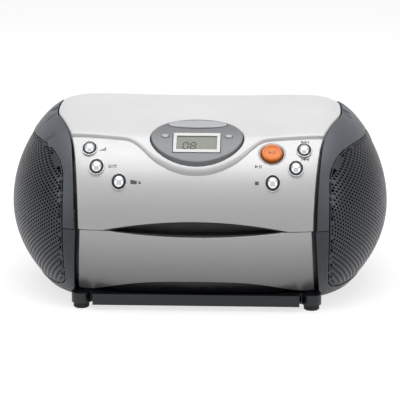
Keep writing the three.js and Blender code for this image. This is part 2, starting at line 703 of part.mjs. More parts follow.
function lidKnuckles() {
  const barrel = rod(HINGE.radius, [44, HINGE.y, HINGE.z], [62, HINGE.y, HINGE.z]);
  const web = box(44, 62, REAR_Y - 1.5, HINGE.y + HINGE.radius, HINGE.z, LID_REAR_Z + 2.5);
  const bore = rod(HINGE.pin + 0.05, [30, HINGE.y, HINGE.z], [80, HINGE.y, HINGE.z]);
  return bothSides(barrel.add(web).subtract(bore));
}

function cdLid() {
  const skin = layer(0, WALL).intersect(bandPrism(0, 0, 60, 200));
  const room = behindLidEdge(0).intersect(box(-200, 200, -200, 200, LID_REAR_Z, 200));
  const earRoom = EAR_SPANS.map(([x0, x1]) => {
    return rod(HINGE.radius + 0.5, [x0 - 0.6, HINGE.y, HINGE.z], [x1 + 0.6, HINGE.y, HINGE.z]);
  });
  const cuts = podPrism(POD.fit).add(bothSides(union(earRoom)));
  return skin.intersect(room).subtract(cuts).add(lidKnuckles());
}

function hingeEars() {
  const ears = EAR_SPANS.map(([x0, x1]) => {
    const barrel = rod(HINGE.radius, [x0, HINGE.y, HINGE.z], [x1, HINGE.y, HINGE.z]);
    return barrel.add(box(x0, x1, REAR_Y - 1.5, HINGE.y + HINGE.radius, HINGE.z - 7, HINGE.z));
  });
  return bothSides(union(ears));
}

function hingeBore() {
  const channel = box(43.5, 62.5, 85, 99, HINGE.z - HINGE.radius - 0.7, 120);
  return bothSides(rod(HINGE.pin + 0.02, [34, HINGE.y, HINGE.z], [72, HINGE.y, HINGE.z]).add(channel));
}

function hingePin() {
  return rod(HINGE.pin, [36, HINGE.y, HINGE.z], [70, HINGE.y, HINGE.z]);
}

function lcdPocket(grow, low, high, size) {
  const [w, h] = size;
  const block = box(-w / 2 - grow, w / 2 + grow, -h / 2 - grow, h / 2 + grow, low, high);
  return placed(block, skinFrame(0, LCD.y, -POD.proud));
}

function ovalSolid(halfX, halfY, low, high, x, y) {
  const disc = turned([[0, low], [1, low], [1, high], [0, high]], 28).scale([halfX, halfY, 1]);
  return placed(disc, skinFrame(x, y, -POD.proud));
}

function displayPod() {
  const cuts = [
    lcdPocket(GAP, -LCD.depth, 6, [LCD.width, LCD.height]),
    ovalSolid(RELEASE.halfX + 0.4, RELEASE.halfY + 0.4, -RELEASE.pocket, 6, 0, RELEASE.y),
    ovalSolid(LAMP.halfX + 0.2, LAMP.halfY + 0.2, -1.6, 6, LAMP.x, LAMP.y),
    ovalSolid(LAMP.halfX + 0.2, LAMP.halfY + 0.2, -1.6, 6, -LAMP.x, LAMP.y),
  ];
  return podPrism(0).intersect(layer(-POD.proud, PANEL_INNER)).subtract(union(cuts));
}

function lcdFrame() {
  const plate = lcdPocket(0, -LCD.depth + GAP, 0.5, [LCD.width, LCD.height]);
  return plate.subtract(lcdPocket(0, -5, 5, LCD.window));
}

function lcdGlass() {
  return lcdPocket(-0.25, -LCD.depth + GAP, -0.4, LCD.window);
}

function releaseButton() {
  const { halfX, halfY, rise, pocket, travel } = RELEASE;
  const low = -pocket + travel + 0.3;
  const shape = turned([[0, low], [1, low], [1, rise - 0.5], [0.9, rise], [0, rise + 0.25]], 36);
  return placed(shape.scale([halfX, halfY, 1]), skinFrame(0, RELEASE.y, -POD.proud));
}

function lamp(x) {
  return ovalSolid(LAMP.halfX, LAMP.halfY, -1.35, 0.3, x, LAMP.y);
}

// ---- push buttons -----------------------------------------------------------
function pushButton(x, y) {
  const profile = [
    [0, -BUTTON.stem], [0.5, -BUTTON.stem], [0.5, -4.4], [1, -4.4],
    [1, 0.9], [0.88, 1.7], [0.5, 2.2], [0, BUTTON.rise],
  ];
  return placed(turned(profile, 16).scale([BUTTON.halfX, BUTTON.halfSlope, 1]), skinFrame(x, y));
}

function playButton() {
  const r = PLAY_RADIUS;
  const profile = [
    [0, -BUTTON.stem], [3, -BUTTON.stem], [3, -4.4], [r, -4.4], [r, 0.9], [r - 0.5, 1.6], [r - 1.6, 1.9],
    [r - 2.2, 1.5], [r - 4.5, 1.3], [0, 1.25],
  ];
  return placed(turned(profile, 26), skinFrame(...PLAY_PLACE));
}

// One flat board lies behind all the push buttons.
function buttonBoard() {
  const frame = skinFrame(0, -92);
  const lift = new THREE.Matrix4().makeTranslation(0, 0, -BUTTON.stem - BUTTON.travel - 4.4);
  const board = placed(box(-89, 89, -17, 17, 0, 1.6), frame.clone().multiply(lift));
  return board.subtract(podPrism(-8));
}

// ---- plinth and feet --------------------------------------------------------
function plinth() {
  const { half, wing, front, rear, bottom, top } = PLINTH;
  const slab = box(-wing, wing, front, rear, bottom, BASE_Z - GAP);
  const bar = box(-half, half, BAR.front, BAR.rear, bottom, top);
  const round = rod(TOWER.radius, [FOOT.x, FOOT.front, bottom], [FOOT.x, FOOT.front, TOWER.top], 20);
  const towers = bothSides(round.add(box(TOWER.inner, wing, front, TOWER.rear, bottom, TOWER.top)));
  const wells = footPlaces().map(([x, y]) => rod(FOOT.spigot + GAP, [x, y, 0], [x, y, BASE_Z - 0.2], 14));
  return union([slab, bar, towers]).subtract(body(-GAP)).subtract(union(wells));
}

function footPlaces() {
  return [[-FOOT.x, FOOT.front], [FOOT.x, FOOT.front], [-FOOT.x, FOOT.rear], [FOOT.x, FOOT.rear]];
}

function foot(x, y) {
  const { pad, edge, height, spigot, reach } = FOOT;
  const profile = [
    [0, 0], [pad - edge, 0], [pad, edge], [pad, height],
    [spigot, height], [spigot, height + reach], [0, height + reach],
  ];
  return turned(profile, 14).translate([x, y, 0]);
}

// ---- disc deck and mechanism ------------------------------------------------
function cdDeck() {
  const slab = box(-103, 103, CHASSIS_REAR_Y + 1, 84, DISC.deckZ, DISC.rimZ);
  const wall = box(-103, 103, CHASSIS_REAR_Y + 0.4, CHASSIS_REAR_Y + 2.4, DISC.deckZ, 150);
  const cheeks = bothSides(box(101, 103, CHASSIS_REAR_Y + 1, 80, DISC.deckZ, 150));
  const { y, well: wide, floorZ } = DISC;
  const upright = (radius, x, low, high, sides) => rod(radius, [x, y, low], [x, y, high], sides);
  const well = turned([[0, floorZ], [wide - 3.5, floorZ], [wide, 101.8], [wide, 110], [0, 110]], 48);
  const window = box(SLED.x - SLED.travel - 6, 0, y - 13, y + 13, 90, 104).add(upright(13, 0, 90, 104, 28));
  const relief = box(-96, 96, -38, 80, floorZ + 4, 110).subtract(upright(wide + 2.5, 0, 90, 120, 48));
  const fingers = bothSides(upright(12, wide + 3, floorZ + 0.8, 120, 20));
  const limit = body(CHASSIS_INNER + GAP);
  return union([slab, wall, cheeks]).intersect(limit).subtract(well.translate([0, DISC.y, 0]))
    .subtract(window).subtract(relief).subtract(fingers);
}

// Bores along both guide rods, from x0 to x1.
function rodBores(fit, x0, x1) {
  return [DISC.y - ROD.offset, DISC.y + ROD.offset].map((y) => {
    return rod(ROD.radius + fit, [x0, y, ROD.z], [x1, y, ROD.z], 12);
  });
}

function mechanismChassis() {
  const plate = box(-72, 34, -10, 57, 80, 82);
  const posts = [[-67, -5], [29, -5], [-67, 52], [29, 52]].map(([x, y]) => {
    return rod(3, [x, y, 81], [x, y, DISC.deckZ - GAP], 8);
  });
  const holders = [];
  for (const y of [DISC.y - ROD.offset, DISC.y + ROD.offset]) {
    holders.push(box(-72, -69.5, y - 3, y + 3, 81, ROD.z + 3), box(16, 18.5, y - 3, y + 3, 81, ROD.z + 3));
  }
  const bores = rodBores(0.02, -80, 30);
  const stud = rod(1.2, [...feedPlace(), 81], [...feedPlace(), 88.4], 12);
  const motorHole = rod(3, [...pinionPlace(), 79], [...pinionPlace(), 83], 14);
  return union([plate, ...posts, ...holders]).subtract(union([...bores, motorHole])).add(stud);
}

function spindleMotor() {
  const profile = [
    [0, 82.3], [11, 82.3], [12, 83.3], [12, 91.5], [11, 92.5], [3, 92.5], [3, 93.4], [0, 93.4],
  ];
  const can = turned(profile, 28);
  return can.translate([0, DISC.y, 0]).subtract(rod(1.05, [0, DISC.y, 84], [0, DISC.y, 100], 16));
}

function spindleHub() {
  const profile = [
    [0, 84.2], [1, 84.2], [1, 94], [9, 94], [10.5, 95.5],
    [10.5, 102.2], [7.4, 102.2], [7.2, 104.6], [5.6, 106], [0, 106],
  ];
  return turned(profile, 28).translate([0, DISC.y, 0]);
}

function guideRod(side) {
  const y = DISC.y + side * ROD.offset;
  return rod(ROD.radius, [-72, y, ROD.z], [18.5, y, ROD.z], 12);
}

// ---- gears ------------------------------------------------------------------
function involute(alpha) {
  return Math.tan(alpha) - alpha;
}

function gearOutline(teeth, phase) {
  const pitch = (GEAR.module * teeth) / 2;
  const base = pitch * Math.cos(THREE.MathUtils.degToRad(20));
  const tip = pitch + 0.85 * GEAR.module;
  const root = pitch - 1.2 * GEAR.module;
  const atPitch = Math.PI / (2 * teeth) - GEAR.backlash / (2 * pitch) + involute(Math.acos(base / pitch));
  const half = (r) => atPitch - involute(Math.acos(Math.min(1, base / Math.max(r, base))));
  const outline = [];
  for (let i = 0; i < teeth; i += 1) {
    const middle = phase + (2 * Math.PI * i) / teeth;
    const steps = [[root, -half(base)], [tip, -half(tip)], [tip, half(tip)], [root, half(base)]];
    for (const [r, a] of steps) outline.push([r * Math.cos(middle + a), r * Math.sin(middle + a)]);
  }
  return outline;
}

function feedRadius(teeth) {
  return (GEAR.module * teeth) / 2;
}

// The feed gear's small wheel meshes with the sled's rack, its large wheel with the motor pinion.
function rackLineY() {
  return DISC.y + ROD.offset - 7.4;
}

function feedPlace() {
  return [FEED_X, rackLineY() - feedRadius(GEAR.smallTeeth) - 0.1];
}

function pinionPlace() {
  const [x, y] = feedPlace();
  return [x, y - feedRadius(GEAR.feedTeeth) - feedRadius(GEAR.motorTeeth) - 0.1];
}

function feedGear() {
  const [x, y] = feedPlace();
  const large = prism('plan', gearOutline(GEAR.feedTeeth, -Math.PI / 2), 83.2, 85.4);
  const small = prism('plan', gearOutline(GEAR.smallTeeth, Math.PI / 2), 85.3, 87.6);
  return large.add(small).subtract(rod(1.25, [0, 0, 80], [0, 0, 95], 16)).translate([x, y, 0]);
}

function motorPinion() {
  const [x, y] = pinionPlace();
  const turn = Math.PI / 2 + Math.PI / GEAR.motorTeeth;
  const wheel = prism('plan', gearOutline(GEAR.motorTeeth, turn), 83.1, 85.6);
  return wheel.add(rod(0.9, [0, 0, 74], [0, 0, 84], 12)).translate([x, y, 0]);
}

function sledMotor() {
  const [x, y] = pinionPlace();
  const can = turned([[0, 70], [8, 70], [8, 79.4], [2.6, 79.4], [2.6, 82], [0, 82]], 24);
  return can.subtract(rod(0.95, [0, 0, 73], [0, 0, 90], 12)).translate([x, y, 0]);
}

function laserSled() {
  const { x, low } = SLED;
  const block = box(x - 11, x + 11, DISC.y - 24, DISC.y + 24, low, 94.4);
  const turret = rod(4.2, [x, DISC.y, 93], [x, DISC.y, 96.4], 20);
  const eye = rod(2.2, [x, DISC.y, 95.7], [x, DISC.y, 99], 16);
  const bores = rodBores(0.06, x - 20, x + 20);
  return union([block, turret]).add(sledRack(x)).subtract(union([eye, ...bores]));
}

function sledRack(x) {
  const pitch = Math.PI * GEAR.module;
  const line = rackLineY();
  const teeth = 16;
  const halfLine = pitch / 4 - GEAR.backlash / 2;
  const slope = Math.tan(THREE.MathUtils.degToRad(20));
  const tip = line - 0.85 * GEAR.module;
  const root = line + 1.2 * GEAR.module;
  const first = FEED_X - pitch * 2.5;
  const outline = [[first - 1.4, root + 3], [first - 1.4, root]];
  for (let i = 0; i < teeth; i += 1) {
    const middle = first + pitch * i;
    const foot = halfLine + slope * (root - line);
    const top = halfLine - slope * (line - tip);
    outline.push([middle - foot, root], [middle - top, tip], [middle + top, tip], [middle + foot, root]);
  }
  const end = first + pitch * (teeth - 1) + 1.4;
  outline.push([end, root], [end, root + 3]);
  const bar = prism('plan', outline, 85.7, 87.4);
  const web = box(x - 11, x + 11, root, root + 3, 87, 89);
  return bar.add(web);
}

function laserLens() {
  return rod(2.0, [SLED.x, DISC.y, 95.9], [SLED.x, DISC.y, 97.2], 16);
}

// ---- boards, transformer, rear pieces ---------------------------------------
function mainBoard() {
  const low = BOARD_Z + 1;
  const plate = box(-4, 84, -57, 12, BOARD_Z, BOARD_Z + BOARD_THICK);
  const sink = box(58, 82, -50, -44, low, low + 24);
  const fins = [61, 66, 71, 76].map((x) => box(x, x + 2, -44.5, -38, low, low + 24));
  const cans = [[12, -40], [28, -44], [14, -14], [40, -18]].map(([x, y]) => {
    return rod(5, [x, y, low], [x, y, low + 12], 14);
  });
  return union([plate, sink, ...fins, ...cans]);
}

function transformer() {
  const core = box(-78, -30, -36, 2, BASE_Z + WALL + GAP, 48);
  const slots = box(-80, -28, -26, -21, 18, 41).add(box(-80, -28, -13, -8, 18, 41));
  const bobbin = box(-70, -38, -40, 6, 19, 40);
  return core.subtract(slots).add(bobbin);
}

function inletMouth() {
  const { x, z, width, height } = INLET;
  return box(x - width, x + width, REAR_Y - 12, REAR_Y + 5, z - height, z + height);
}

function acInlet() {
  const { x, z, width, height, pin, hole } = INLET;
  const [halfX, halfZ] = [width - GAP, height - GAP];
  const flange = box(x - halfX, x + halfX, REAR_Y - 3, REAR_Y - 0.4, z - halfZ, z + halfZ);
  const bodyBlock = box(x - 10, x + 10, REAR_Y - 20, REAR_Y - 2, z - 6.4, z + 6.4);
  const lobes = [-pin, pin].map((dx) => rod(hole, [x + dx, REAR_Y + 2, z], [x + dx, REAR_Y - 15, z]));
  const mouth = union(lobes).add(box(x - pin, x + pin, REAR_Y - 15, REAR_Y + 2, z - 2.4, z + 2.4));
  const pins = [-pin, pin].map((dx) => rod(1.1, [x + dx, REAR_Y - 16, z], [x + dx, REAR_Y - 5, z], 12));
  return flange.add(bodyBlock).subtract(mouth).add(union(pins));
}

function jackMouth() {
  return rod(5.2, [88, REAR_Y - 8, 40], [88, REAR_Y + 4, 40]);
}

function headphoneJack() {
  const sleeve = rod(4.9, [88, REAR_Y - 14, 40], [88, REAR_Y + 0.8, 40], 24);
  return sleeve.subtract(rod(1.8, [88, REAR_Y - 12.5, 40], [88, REAR_Y + 4, 40], 16));
}

// ---- antenna ----------------------------------------------------------------
function antennaBoss() {
  const { x, z } = ANTENNA;
  return box(x - 7, x + 5, REAR_Y - 1.5, REAR_Y + 1.6, z - 6, z + 6);
}

function antennaFork() {
  const { x, y, z } = ANTENNA;
  const base = box(x - 6, x + 5, REAR_Y + 1.9, REAR_Y + 3.1, z - 5, z + 5);
  const stud = rod(1.5, [x, REAR_Y + 2.5, z], [x, y + 3.4, z], 16);
  return base.add(stud);
}

function antennaKnuckle() {
  const { x, y, z, radii, length } = ANTENNA;
  const eye = rod(4.4, [x, y - 2.2, z], [x, y + 2.2, z], 24);
  const tube = rod(radii[0], [x, y, z], [x - length, y, z], 16);
  const bore = rod(radii[1] + 0.05, [x - 8, y, z], [x - length - 1, y, z], 16);
  return eye.add(tube).subtract(rod(1.56, [x, 80, z], [x, 120, z], 16)).subtract(bore);
}

function antennaMiddle() {
  const { x, y, z, radii, length } = ANTENNA;
  const tube = rod(radii[1], [x - 9, y, z], [x - length - 3, y, z], 16);
  return tube.subtract(rod(radii[2] + 0.05, [x - 12, y, z], [x - length - 5, y, z], 16));
}

function antennaTip() {
  const { x, y, z, radii, length } = ANTENNA;
  const tube = rod(radii[2], [x - 13, y, z], [x - length - 6, y, z], 16);
  return tube.add(rod(radii[0], [x - length - 3.6, y, z], [x - length - 8, y, z], 16));
}

// ---- assembly ---------------------------------------------------------------
function buildPieces() {
  const pieces = [
    ['lower_shell', lowerShell(), 'slate'], ['upper_shell', upperShell(), 'grey'],
    ['front_chassis', frontChassis(), 'black'], ['base_plinth', plinth(), 'black'],
    ['lower_front_panel', lowerFrontPanel(), 'silver'], ['upper_front_panel', upperFrontPanel(), 'silver'],
    ['slot_insert', slotInsert(), 'black'], ['cd_lid', cdLid(), 'white'],
    ['display_pod', displayPod(), 'pod'], ['lcd_frame', lcdFrame(), 'frame'],
    ['lcd_glass', lcdGlass(), 'glass'],
    ['lid_release_button', releaseButton(), 'frame'],
    ['lamp_left', lamp(-LAMP.x), 'lamp'], ['lamp_right', lamp(LAMP.x), 'lamp'],
    ['play_pause_button', playButton(), 'orange'], ['button_board', buttonBoard(), 'board'],
    ['cd_deck', cdDeck(), 'black'], ['mechanism_chassis', mechanismChassis(), 'slate'],
    ['spindle_motor', spindleMotor(), 'steel'], ['spindle_hub', spindleHub(), 'black'],
    ['laser_sled', laserSled(), 'ferrite'], ['laser_lens', laserLens(), 'optic'],
    ['guide_rod_front', guideRod(-1), 'steel'], ['guide_rod_rear', guideRod(1), 'steel'],
    ['feed_gear', feedGear(), 'gear'], ['motor_pinion', motorPinion(), 'gear'],
    ['sled_motor', sledMotor(), 'steel'],
    ['main_board', mainBoard(), 'board'], ['transformer', transformer(), 'copper'],
    ['battery_door', batteryDoor(), 'slate'], ['ac_inlet', acInlet(), 'black'],
    ['headphone_jack', headphoneJack(), 'black'],
    ['handle', handle(), 'slate'], ['antenna_fork', antennaFork(), 'steel'],
    ['antenna_tube_outer', antennaKnuckle(), 'chrome'], ['antenna_tube_middle', antennaMiddle(), 'chrome'],
    ['antenna_tube_tip', antennaTip(), 'chrome'],
  ];
  for (const [name, [x, y]] of Object.entries(BUTTON_PLACES)) pieces.push([name, pushButton(x, y), 'chrome']);
  footPlaces().forEach(([x, y], i) => pieces.push([`foot_${i + 1}`, foot(x, y), 'rubber']));
  const pairs = [
    ['grille', grille(), 'grille'], ['speaker_basket', speakerBasket(), 'steel'],
    ['speaker_cone', speakerCone(), 'cone'],
    ['lid_hinge_pin', hingePin(), 'steel'],
  ];
  for (const [name, solid, finish] of pairs) {
    pieces.push([`${name}_right`, solid, finish], [`${name}_left`, mirrored(solid), finish]);
  }
  pieces.push(['tuning_knob', knob(), 'slate'], ['volume_knob', mirrored(knob()), 'slate']);
  pieces.push(['band_switch', slider(), 'black'], ['function_switch', mirrored(slider()), 'black']);
  return pieces;
}

const model = new THREE.Group();
for (const [name, solid, finish] of buildPieces()) model.add(meshOf(name, solid, finish));
export default model;
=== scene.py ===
"""Portable CD player with a domed housing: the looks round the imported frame.

Lengths are in mm until a mesh is made.
"""
import json
import math

import bmesh
import bpy
import numpy as np
from mathutils import Matrix, Vector
from mathutils.kdtree import KDTree

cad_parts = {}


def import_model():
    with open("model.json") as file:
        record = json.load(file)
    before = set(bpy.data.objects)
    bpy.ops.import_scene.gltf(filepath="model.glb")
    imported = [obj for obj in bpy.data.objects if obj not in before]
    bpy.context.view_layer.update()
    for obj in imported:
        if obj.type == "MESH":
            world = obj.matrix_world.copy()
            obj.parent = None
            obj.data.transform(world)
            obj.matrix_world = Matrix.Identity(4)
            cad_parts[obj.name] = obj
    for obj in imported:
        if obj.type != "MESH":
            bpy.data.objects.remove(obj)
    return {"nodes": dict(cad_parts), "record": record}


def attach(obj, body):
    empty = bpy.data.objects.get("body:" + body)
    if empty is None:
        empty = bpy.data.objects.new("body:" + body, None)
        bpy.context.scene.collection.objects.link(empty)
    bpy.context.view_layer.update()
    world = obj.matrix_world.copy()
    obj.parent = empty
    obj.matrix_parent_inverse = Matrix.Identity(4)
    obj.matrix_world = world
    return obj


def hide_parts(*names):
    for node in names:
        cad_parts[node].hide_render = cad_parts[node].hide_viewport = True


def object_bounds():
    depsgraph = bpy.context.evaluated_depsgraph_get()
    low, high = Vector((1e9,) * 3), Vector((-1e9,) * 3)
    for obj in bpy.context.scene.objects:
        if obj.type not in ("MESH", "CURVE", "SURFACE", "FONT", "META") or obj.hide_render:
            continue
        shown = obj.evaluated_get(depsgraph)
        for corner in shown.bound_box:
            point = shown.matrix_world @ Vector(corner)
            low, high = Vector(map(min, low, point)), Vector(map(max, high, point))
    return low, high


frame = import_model()
CAD_BOX = [list(corner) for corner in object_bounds()]
NODES = frame["nodes"]
BODY_OF = {node: body for body, names in frame["record"]["behaviour"]["bodies"].items() for node in names}
MM = 0.001

# ---- the housing's form, as in the CAD --------------------------------------
HALF_WIDTH, WAIST_Z = 150.0, 67.0
DOME = {"y": -15.0, "front": 127.0, "rear": 170.0, "up": 120.0, "down": 106.0}
BAND = {"y": -5.0, "front": 109.1, "rear": 108.3, "up": 83.0, "down": 105.0, "rear_down": 200.0,
        "rear_power": 1.85}
EDGE_BLEND = 8
RIDGE_DIP, DIP_HALF_WIDTH, DIP_FOOT_Z, DIP_RISE = 2.4, 95.0, 118, 32
CENTRE = np.array([0.0, BAND["y"], WAIST_Z])
PLAY_PLACE, PLAY_RADIUS = (57.8, -83.7), 7.8
DISH_RADIUS, DISH_SLOPE, DISH_DEPTH = 11.2, 2.2, 0.9
DISH_MIDDLE = DISH_RADIUS - DISH_SLOPE / 2
PANEL_INSET, POD_PROUD, GRILLE_INSET, REAR_Y, BASE_Z = 1.8, 1.5, 0.67, 92.5, 6.5
# The grille's outline from the front and from the side: its straight edge, foot, height and corner radii.
GRILLE_FRONT = {"edge": 102.5, "foot": 13.5, "tall": 110.5, "low_radius": 9.0, "top_radius": 20.0}
GRILLE_SIDE = {"edge": 22.0, "foot": 13.1, "tall": 111.3, "low_radius": 30.0, "top_radius": 42.0}


def level(p, inset):
    """Below 1 inside the form sunk by inset, above 1 outside it, before the ridge's dip."""
    x, y, dz = p[:, 0], p[:, 1], p[:, 2] - WAIST_Z
    dome_y = np.where(y < DOME["y"], DOME["front"], DOME["rear"]) - inset
    dome_z = np.where(dz > 0, DOME["up"], DOME["down"]) - inset
    dome = (x / (HALF_WIDTH - inset)) ** 2 + ((y - DOME["y"]) / dome_y) ** 2 + (dz / dome_z) ** 2
    dy = y - BAND["y"]
    front = dy < 0
    band_z = np.where(dz > 0, BAND["up"], np.where(front, BAND["down"], BAND["rear_down"])) - inset
    reach = np.abs(dy) / (np.where(front, BAND["front"], BAND["rear"]) - inset)
    band = reach ** np.where(front, 2.0, BAND["rear_power"]) + (dz / band_z) ** 2
    return dome ** EDGE_BLEND + band ** EDGE_BLEND


def dip(x, z):
    """How far the ridge sinks in its middle."""
    t = np.clip((z - DIP_FOOT_Z) / DIP_RISE, 0, 1)
    return RIDGE_DIP * np.maximum(0, 1 - (x / DIP_HALF_WIDTH) ** 2) * t * t * (3 - 2 * t)


def undipped(p):
    """The points before the dip."""
    q = p.copy()
    for _ in range(6):
        q[:, 2] = p[:, 2] + dip(q[:, 0], q[:, 2])
    return q


def last_inside(count, low, high, halvings, inside_at):
    """For each of count places, the last value from low to high that is still inside, found by halving."""
    low, high = np.full(count, low), np.full(count, high)
    for _ in range(halvings):
        mid = (low + high) / 2
        inside = inside_at(mid)
        low, high = np.where(inside, mid, low), np.where(inside, high, mid)
    return low


def on_skin(p, inset):
    """The points moved along their rays onto the housing's smooth surface."""
    ray = undipped(p) - CENTRE
    reach = last_inside(len(p), 0.0, 3.0, 26, lambda far: level(CENTRE + ray * far[:, None], inset) < 1)
    q = CENTRE + ray * reach[:, None]
    q[:, 2] -= dip(q[:, 0], q[:, 2])
    return q


def skin_normal(p, inset):
    step = 0.05
    grad = np.zeros_like(p)
    for axis in range(3):
        shift = np.zeros(3)
        shift[axis] = step
        grad[:, axis] = level(undipped(p + shift), inset) - level(undipped(p - shift), inset)
    return grad / np.linalg.norm(grad, axis=1)[:, None]


def grille_depth(p):
    """How far points of the right side lie inside the grille's outline; negative outside."""
    def depth_in(u, outline):
        v = p[:, 2] - outline["foot"]
        above = outline["tall"] - v
        depth = np.minimum(u, np.minimum(v, above))
        for r, w in ((outline["low_radius"], v), (outline["top_radius"], above)):
            near = (u < r) & (w < r)
            depth = np.where(near, r - np.hypot(r - u, r - w), depth)
        return depth
    front = depth_in(p[:, 0] - GRILLE_FRONT["edge"], GRILLE_FRONT)
    return np.minimum(front, depth_in(GRILLE_SIDE["edge"] - p[:, 1], GRILLE_SIDE))


def along_axis(p, inset):
    """Points on a cut edge moved onto the smooth surface along the axis that keeps the cut's outline."""
    n = skin_normal(p, inset)
    size = np.abs(n)
    mirrored = np.column_stack([np.abs(p[:, 0]), p[:, 1:]])
    upright = (size[:, 2] > 0.35) & (p[:, 2] > WAIST_Z + 1) & (grille_depth(mirrored) < -1.2)
    axis = np.where(upright, 2, np.where(size[:, 1] > size[:, 0], 1, 0))
    way = np.zeros_like(p)
    rows = np.arange(len(p))
    way[rows, axis] = np.sign(n[rows, axis])
    for k, flat in ((1, p[:, 1] > REAR_Y - 0.02), (2, p[:, 2] < BASE_Z + 0.02)):
        inside = n[flat].copy()
        inside[:, k] = 0
        way[flat] = inside / np.linalg.norm(inside, axis=1)[:, None]
    shift = last_inside(len(p), -3.0, 3.0, 30, lambda far: level(undipped(p + way * far[:, None]), inset) < 1)
    moved = p + way * shift[:, None]
    return np.where((np.abs(shift) < 1.5)[:, None], moved, p)


def skin_frame(x, y, inset=PANEL_INSET):
    """A place on the middle band: X across, Y up the slope, Z outward, as a 4 by 4 matrix in mm."""
    reach, rise = BAND["front"] - inset, BAND["up"] - inset
    cosine = (BAND["y"] - y) / reach
    sine = math.sqrt(1 - cosine * cosine)
    along = Vector((0, reach * sine, rise * cosine)).normalized()
    out = Vector((1, 0, 0)).cross(along)
    z = WAIST_Z + rise * sine
    z -= float(dip(np.array([x]), np.array([z]))[0])
    m = Matrix.Identity(4)
    for i, v in enumerate((Vector((1, 0, 0)), along, out, Vector((x, y, z)))):
        for r in range(3):
            m[r][i] = v[r]
    return m


# ---- materials --------------------------------------------------------------
def srgb(code):
    """A colour written as six hex digits, as linear light."""
    out = []
    for i in (0, 2, 4):
        c = int(code[i:i + 2], 16) / 255
        out.append(c / 12.92 if c <= 0.04045 else ((c + 0.055) / 1.055) ** 2.4)
    return (*out, 1.0)


class Nodes:
    """Short ways to add and join shader nodes."""

    def __init__(self, name):
        self.mat = bpy.data.materials.new(name)
        self.mat.use_nodes = True
        self.tree = self.mat.node_tree
        self.bsdf = self.tree.nodes["Principled BSDF"]
        self.place = self.add("ShaderNodeTexCoord").outputs["Object"]

    def add(self, kind, **values):
        node = self.tree.nodes.new(kind)
        for key, value in values.items():
            if hasattr(node, key):
                setattr(node, key, value)
            else:
                node.inputs[key.replace("_", " ")].default_value = value
        return node

    def join(self, a, b):
        self.tree.links.new(a, b)

    def noise(self, scale, detail=2.0, stretch=None):
        node = self.add("ShaderNodeTexNoise", Scale=scale, Detail=detail)
        source = self.place
        if stretch:
            mapping = self.add("ShaderNodeMapping")
            mapping.inputs["Scale"].default_value = stretch
            self.join(source, mapping.inputs["Vector"])
            source = mapping.outputs["Vector"]
        self.join(source, node.inputs["Vector"])
        return node.outputs["Fac"]

    def ramp(self, source, low, high, a=0.3, b=0.7):
        node = self.add("ShaderNodeMapRange")
        for key, value in (("From Min", a), ("From Max", b), ("To Min", low), ("To Max", high)):
            node.inputs[key].default_value = value
        self.join(source, node.inputs["Value"])
        return node.outputs["Result"]

    def mix(self, factor, a, b):
        node = self.add("ShaderNodeMix", data_type="RGBA")
        self.join(factor, node.inputs["Factor"])
        node.inputs["A"].default_value, node.inputs["B"].default_value = a, b
        return node.outputs["Result"]

    def bump(self, source, strength, distance=0.0002):
        node = self.add("ShaderNodeBump", Strength=strength, Distance=distance)
        self.join(source, node.inputs["Height"])
        self.join(node.outputs["Normal"], self.bsdf.inputs["Normal"])


def finish_of(name, colour, other, rough, grain, depth, metal=0.0, coat=0.0, spec=0.5, cloud=18.0):
    """A moulded, painted or metal surface: two near shades in soft clouds, fine grain and uneven gloss."""
    n = Nodes(name)
    shades = n.mix(n.ramp(n.noise(cloud), 0, 1), srgb(colour), srgb(other))
    n.join(shades, n.bsdf.inputs["Base Color"])
    n.join(n.ramp(n.noise(cloud * 9), *rough), n.bsdf.inputs["Roughness"])
    n.bsdf.inputs["Metallic"].default_value = metal
    n.bsdf.inputs["Coat Weight"].default_value = coat
    n.bsdf.inputs["Specular IOR Level"].default_value = spec
    n.bump(n.noise(grain, 3), depth)
    return n.mat


def silver_paint():
    """Silver paint: fine pale flakes, with painted shade that darkens it toward the bottom."""
    n = Nodes("silver_paint")
    flake = n.add("ShaderNodeTexVoronoi", Scale=2600.0)
    n.join(n.place, flake.inputs["Vector"])
    flakes = n.mix(n.ramp(flake.outputs["Distance"], 0, 1, 0.1, 0.8), srgb("dadada"), srgb("cbcbcb"))
    split = n.add("ShaderNodeSeparateXYZ")
    n.join(n.place, split.inputs[0])
    # Painted shade: below 62 mm the colour fades toward 8a8b8c and is darkest at 8 mm, where the front faces
    # down.
    shade = n.add("ShaderNodeMix", data_type="RGBA")
    n.join(n.ramp(split.outputs["Z"], 1, 0, 0.008, 0.062), shade.inputs["Factor"])
    n.join(flakes, shade.inputs["A"])
    shade.inputs["B"].default_value = srgb("8a8b8c")
    n.join(shade.outputs["Result"], n.bsdf.inputs["Base Color"])
    n.join(n.ramp(n.noise(160), 0.36, 0.44), n.bsdf.inputs["Roughness"])
    n.bsdf.inputs["Metallic"].default_value = 0.25
    n.bump(flake.outputs["Distance"], 0.06, 0.00005)
    return n.mat


def brushed(name, colour, rough=(0.18, 0.3)):
    """Bare metal with fine lines along Y, a fifth darker in the lines."""
    n = Nodes(name)
    lines = n.noise(120, 4, (40, 1, 40))
    bright = srgb(colour)
    n.join(n.mix(lines, bright, (*(c * 0.8 for c in bright[:3]), 1)), n.bsdf.inputs["Base Color"])
    n.join(n.ramp(lines, *rough), n.bsdf.inputs["Roughness"])
    n.bsdf.inputs["Metallic"].default_value = 1.0
    n.bump(lines, 0.05, 0.0001)
    return n.mat


